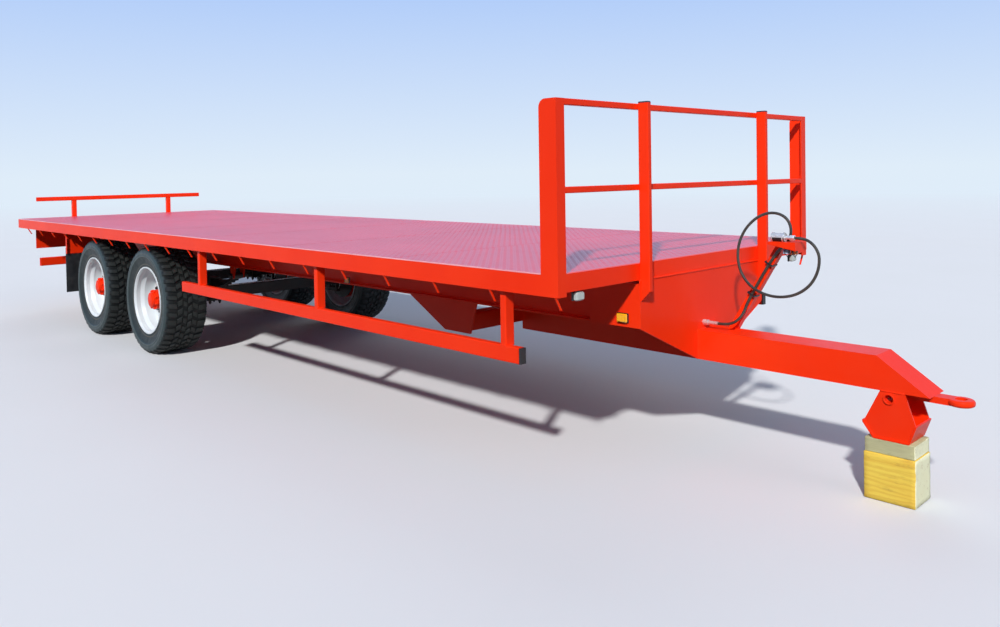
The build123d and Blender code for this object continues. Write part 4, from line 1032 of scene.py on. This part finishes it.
def makePipes():
    bm = bmesh.new()
    y, z = hosePoints[0].y, hosePoints[0].z
    radius, inner, along, over = pipes["radius"], pipes["beamY"], pipes["along"], pipes["over"]
    reach, ramZ, ahead = pipes["ramY"], pipes["ramZ"], pipes["ahead"]
    front, rear = xFront - 0.010, axleX["rear"]
    pipe(bm, [(xFront + 0.004, y, z), (front - 0.10, y, z), (front - 0.13, y + 0.02, z),
              (front - 0.16, inner - 0.03, z), (front - 0.19, inner, z + 0.004), (front - 0.24, inner, along),
              (rear + 0.10, inner, along), (rear + 0.072, inner, along - 0.02), (rear + ahead, inner, over)],
         radius)
    pipe(bm, [(axleX["front"] + ahead, inner, along), (axleX["front"] + ahead, inner, over)], radius)
    for axle in axleX.values():
        x = axle + ahead
        pipe(bm, [(x, -reach + 0.02, over), (x, reach - 0.02, over)], radius)
        for way in sides:
            side = way * reach
            pipe(bm, [(x, way * (reach - 0.025), over), (x, side, over - 0.02), (x, side, ramZ + 0.04),
                      (axle + 0.052, side, ramZ + 0.012), (axle + 0.030, side, ramZ)], radius)
    keepPiece("brakePipes", bm, brightSteel, crease=50)


makePipes()
print("nuts and pipes fitted")

# coupling: a black trough below it, two plated bands, and dust caps on the parking sockets
bracketLow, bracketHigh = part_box("coupling_bracket")
cradle = {"wall": 0.004, "lap": 0.0004, "start": 0.001, "end": 0.071, "bands": (0.006, 0.064), "steps": 14}
cap = {"radius": 0.0195, "high": 0.024, "lap": 0.010, "edge": 0.0255, "pitch": 0.0408, "strap": 0.0022}


def makeCradle():
    trough, bands = bmesh.new(), bmesh.new()
    inner, outer, steps = couplingRadius - cradle["lap"], couplingRadius + cradle["wall"], cradle["steps"]
    sweep = [math.pi + math.pi * i / steps for i in range(steps + 1)]
    section = []
    for radius, angles in ((inner, sweep), (outer, sweep[::-1])):
        section += [(couplingY + radius * math.cos(a), couplingZ + radius * math.sin(a)) for a in angles]
    ends = []
    for along in (cradle["start"], cradle["end"]):
        ends.append([trough.verts.new((couplingLow.x + along, y, z)) for y, z in section])
    skin(trough, *ends)
    for end in ends:
        for i in range(steps):
            trough.faces.new((end[i], end[i + 1], end[-2 - i], end[-1 - i]))
    keepPiece("couplingCradle", trough, blackPlastic)
    proud = outer + 0.001
    hoop = [(inner, -0.004), (proud, -0.003), (proud, 0.003), (inner, 0.004)]
    for along in cradle["bands"]:
        band(bands, onCoupling(couplingLow.x + along), hoop)
    keepPiece("cradleBands", bands, brightSteel)


def makeCaps():
    straps = bmesh.new()
    radius, high = cap["radius"], cap["high"]
    neck, side = 0.94 * radius, couplingY - radius
    profile = [(0.90 * radius, 0.0), (radius, 0.001), (radius, 0.006), (neck, 0.007), (neck, high - 0.006),
               (radius, high - 0.005), (radius, high - 0.001), (0.9 * radius, high)]
    for i, (name, finish) in enumerate((("dustCapOrange", orangePlastic), ("dustCapPale", bluePlastic))):
        bm = bmesh.new()
        x, top = bracketHigh.x - cap["edge"] - i * cap["pitch"], bracketLow.z + cap["lap"]
        lathe(bm, facing((x, couplingY, top), (0, 0, -1)), profile, 28)
        keepPiece(name, bm, finish)
        route = [(x, side + 0.003, top - 0.004), (x, side - 0.002, top - 0.004),
                 (x + 0.004, side - 0.005, top - 0.024), (x + 0.016, side - 0.004, top - 0.036),
                 (x + 0.026, side - 0.003, top - 0.020), (x + 0.021, side, top + 0.010)]
        pipe(straps, route, cap["strap"], 8)
    keepPiece("capStraps", straps, blackRubber)


makeCradle()
makeCaps()

# skid: a rolled rim on the tube's ends and a web inside
skidLow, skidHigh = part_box("skid_tube")
skidMiddle = (skidLow + skidHigh) / 2
cheekLow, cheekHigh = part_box("skid_cheeks")
skid = {"rim": 0.0030, "wall": 0.006, "web": 0.008, "webIn": 0.010}


def makeSkid():
    rims, web = bmesh.new(), bmesh.new()
    radius = (skidHigh.z - skidLow.z) / 2
    inner, rim = radius - skid["wall"], skid["rim"]
    profile = [(inner - 0.0003, -0.010), (inner - 0.0003, 0.0004), (inner + 0.002, rim),
               (radius - 0.001, rim), (radius + 0.0012, 0.0), (radius + 0.0012, -0.003)]
    for way in sides:
        band(rims, facing((skidMiddle.x, way * skidHigh.y, skidMiddle.z), (0, way, 0)), profile, 36)
    keepPiece("skidTubeRims", rims, redPaint)
    wide = cheekHigh.y - skid["webIn"]
    front = [(skidMiddle.x + 0.012, skidMiddle.z - 0.028), (skidMiddle.x + 0.046, cheekLow.z + 0.004)]
    outline = front + [(x - skid["web"], z) for x, z in front[::-1]]
    loft(web, [[web.verts.new((x, y, z)) for x, z in outline] for y in (-wide, wide)])
    keepPiece("skidWeb", web, redPaint)


makeSkid()

# weld beads where the plates meet
welds = {
    "radius": 0.0042, "small": 0.0030, "top": 0.0058, "plate": 0.006, "eyeY": 0.036, "eyeX": (0.004, 0.118),
    "cheekTop": (-0.041, 0.068), "cheek": [(-0.113, 0.062), (-0.068, 0.0), (0.084, 0.0), (0.114, 0.082)],
    "foot": 0.047, "legHalf": 0.020, "legDeep": 0.058, "legs": 3,
}


def makeWelds():
    bm = bmesh.new()
    radius, small = welds["radius"], welds["small"]
    face, half = xFront + welds["plate"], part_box("drawbar")[1].y
    standLow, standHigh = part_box("hose_stand")
    eyeLow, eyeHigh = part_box("tow_eye")
    top, bottom = standLow.z, eyeHigh.z  # of the drawbar
    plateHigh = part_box("bulkhead_plate")[1]
    bead(bm, (face, -half, top), (face, half, top), radius)
    for way in sides:
        bead(bm, (face, way * half, bottom), (face, way * half, top), radius)
        corner = (face - 0.001, way * plateHigh.y, beamLow.z)
        bead(bm, corner, (face - 0.001, way * plateHigh.y, plateHigh.z), small)
        bead(bm, corner, (face - 0.001, way * half, bottom), small)
    start, end = [(face - 0.0005, y, plateHigh.z) for y in (-plateHigh.y, plateHigh.y)]
    bead(bm, start, end, welds["top"])
    for way in sides:
        y = way * cheekHigh.y
        start, end = [(skidMiddle.x + x, y, bottom) for x in welds["cheekTop"]]
        bead(bm, start, end, radius)
        line = [(skidMiddle.x + x, y, cheekLow.z + z) for x, z in welds["cheek"]]
        for first, second in zip(line, line[1:]):
            bead(bm, first, second, small)
    for way in sides:
        start, end = [(eyeLow.x + x, way * welds["eyeY"], bottom) for x in welds["eyeX"]]
        bead(bm, start, end, small)
    footX = (standLow.x, standLow.x + welds["foot"])
    for y in (standLow.y, standHigh.y):
        bead(bm, (footX[0], y, top), (footX[1], y, top), small)
    for x in footX:
        bead(bm, (x, standLow.y, top), (x, standHigh.y, top), small)
    legLow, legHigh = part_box("guard_legs")
    leg = welds["legHalf"]
    pitch = (legHigh.x - legLow.x - 2 * leg) / (welds["legs"] - 1)
    for way in sides:
        outer, inner = way * legHigh.y, way * (legHigh.y - welds["legDeep"])
        for i in range(welds["legs"]):
            x = legLow.x + leg + i * pitch
            for z in (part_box("guard_rails")[1].z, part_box("side_rails")[0].z):
                for along in (-leg, leg):
                    bead(bm, (x + along, outer, z), (x + along, inner, z), small)
                bead(bm, (x - leg, outer, z), (x + leg, outer, z), small)
    keepPiece("weldBeads", bm, redPaint, crease=60)


makeWelds()
print("welds laid")

# bright edges on the CAD plates where light catches
edges = {"width": 0.0022, "segments": 2, "angle": 38}
edgedNodes = [
    "drawbar", "skid_cheeks", "skid_shoe", "front_beam", "side_rails", "corner_posts", "bulkhead_plate",
    "bulkhead_gussets", "main_beams", "rear_beam", "rear_valance", "hose_stand", "coupling_bracket",
    "drawbar_hangers", "cross_members", "axles", "end_caps", "mudflaps", "flap_brackets",
]
for name in edgedNodes:
    bevel = frame["nodes"][name].modifiers.new("edge", "BEVEL")
    bevel.width = edges["width"]
    bevel.segments = edges["segments"]
    bevel.limit_method = "ANGLE"
    bevel.angle_limit = math.radians(edges["angle"])
    bevel.harden_normals = False

# floor, world, lights and camera
studio = {
    "floor": 0.80, "bounce": 0.09, "rings": (0.5, 8.0, 20.0, 40.0, 70.0), "drop": 0.0005,
    "fade": (14.0, 49.0), "horizon": (0.78, 0.89, 1.0, 1), "zenith": (0.36, 0.56, 1.0, 1), "skyRise": 0.28,
    "seen": 0.95, "ambient": 0.29,
}


def makeFloor():
    bm = bmesh.new()
    middle = Matrix.Translation(((cadBox[0][0] + cadBox[1][0]) / 2, 0, 0))
    rings = [ring(bm, middle, radius, -studio["drop"], 96) for radius in studio["rings"]]
    for first, second in zip(rings, rings[1:]):
        skin(bm, first, second)
    bm.faces.new(rings[0])
    mesh = meshOf("floor", bm)
    finish = Finish("paleFloor", "")
    x, y = finish.axis("X", finish.place), finish.axis("Y", finish.place)
    away = finish.between((x * x + y * y) ** 0.5, *studio["fade"])
    tone, bounce = studio["floor"], studio["bounce"]
    dull = (tone * 0.97, tone * 0.97, tone * 0.96, 1)
    colour = finish.blend(finish.noise(0.8, 4.0), dull, (tone, tone, tone, 1))
    colour = finish.blend(finish.seen(), (bounce, bounce, bounce, 1), colour)
    finish.paint(Base_Color=colour, Roughness=0.9, Specular_IOR_Level=0.1)
    glow = finish.node("Emission", None, {"Color": studio["horizon"], "Strength": studio["seen"]})
    lit = Wire(finish.tree, finish.shader.outputs[0])
    mixed = finish.node("MixShader", None, {0: away, 1: lit, 2: glow})
    finish.feed(finish.tree.nodes["Material Output"].inputs["Surface"], mixed)
    mesh.materials.append(finish.material)
    addObject("floor", mesh)


def makeWorld():
    world = bpy.data.worlds.new("studio")
    world.use_nodes = True
    tree = Tree(world.node_tree)
    background = world.node_tree.nodes["Background"]
    height = tree.axis("Z", tree.node("TexCoord", output="Generated"))
    stops = [(0.0, studio["horizon"]), (studio["skyRise"], studio["zenith"])]
    tree.feed(background.inputs["Color"], tree.node("ValToRGB", {"stops": stops}, {0: height}))
    strength = studio["ambient"] + tree.seen() * (studio["seen"] - studio["ambient"])
    tree.feed(background.inputs["Strength"], strength)
    bpy.context.scene.world = world


def makeSun(name, towards, strength, angle, gloss=True):
    light = bpy.data.lights.new(name, "SUN")
    light.energy = strength
    light.angle = math.radians(angle)
    sun = addObject(name, light)
    sun.rotation_euler = Vector(towards).to_track_quat("Z", "Y").to_euler()
    sun.visible_glossy = gloss


# angles in degrees; focal length, middle row and image size in pixels
view = {
    "at": (xFront + 2.484, -3.997, 1.551), "yaw": 135.73, "pitch": -1.26, "roll": -0.89, "focal": 828.0,
    "middle": 190.4, "image": (1000, 627), "sensor": 36.0, "far": 300.0,
}


def makeCamera():
    yaw, pitch, roll = (math.radians(view[key]) for key in ("yaw", "pitch", "roll"))
    width, height = view["image"]
    forward = Vector((math.cos(pitch) * math.cos(yaw), math.cos(pitch) * math.sin(yaw), math.sin(pitch)))
    right = Vector((math.sin(yaw), -math.cos(yaw), 0.0))
    up = right.cross(forward)
    tiltRight = math.cos(roll) * right + math.sin(roll) * up
    tiltUp = -math.sin(roll) * right + math.cos(roll) * up
    lens = bpy.data.cameras.new("camera")
    lens.sensor_width = view["sensor"]
    lens.lens = view["focal"] * view["sensor"] / width
    lens.shift_y = (view["middle"] - height / 2) / width
    lens.clip_end = view["far"]
    camera = addObject("camera", lens)
    turn = Matrix((tiltRight, tiltUp, -forward)).transposed().to_4x4()
    camera.matrix_world = Matrix.Translation(view["at"]) @ turn
    bpy.context.scene.camera = camera


makeFloor()
makeWorld()
makeSun("keyLamp", (0.77, -1.23, 1.0), 2.5, 2.8, gloss=False)
makeSun("glintLamp", (0.77, -1.23, 1.0), 1.2, 2.8)
makeSun("fillLamp", (0.9, 0.1, 0.45), 0.35, 40)
makeSun("backLamp", (-0.9, 0.9, 0.7), 0.7, 50, gloss=False)
makeCamera()
bpy.context.scene.view_settings.view_transform = "Standard"
print("studio ready")
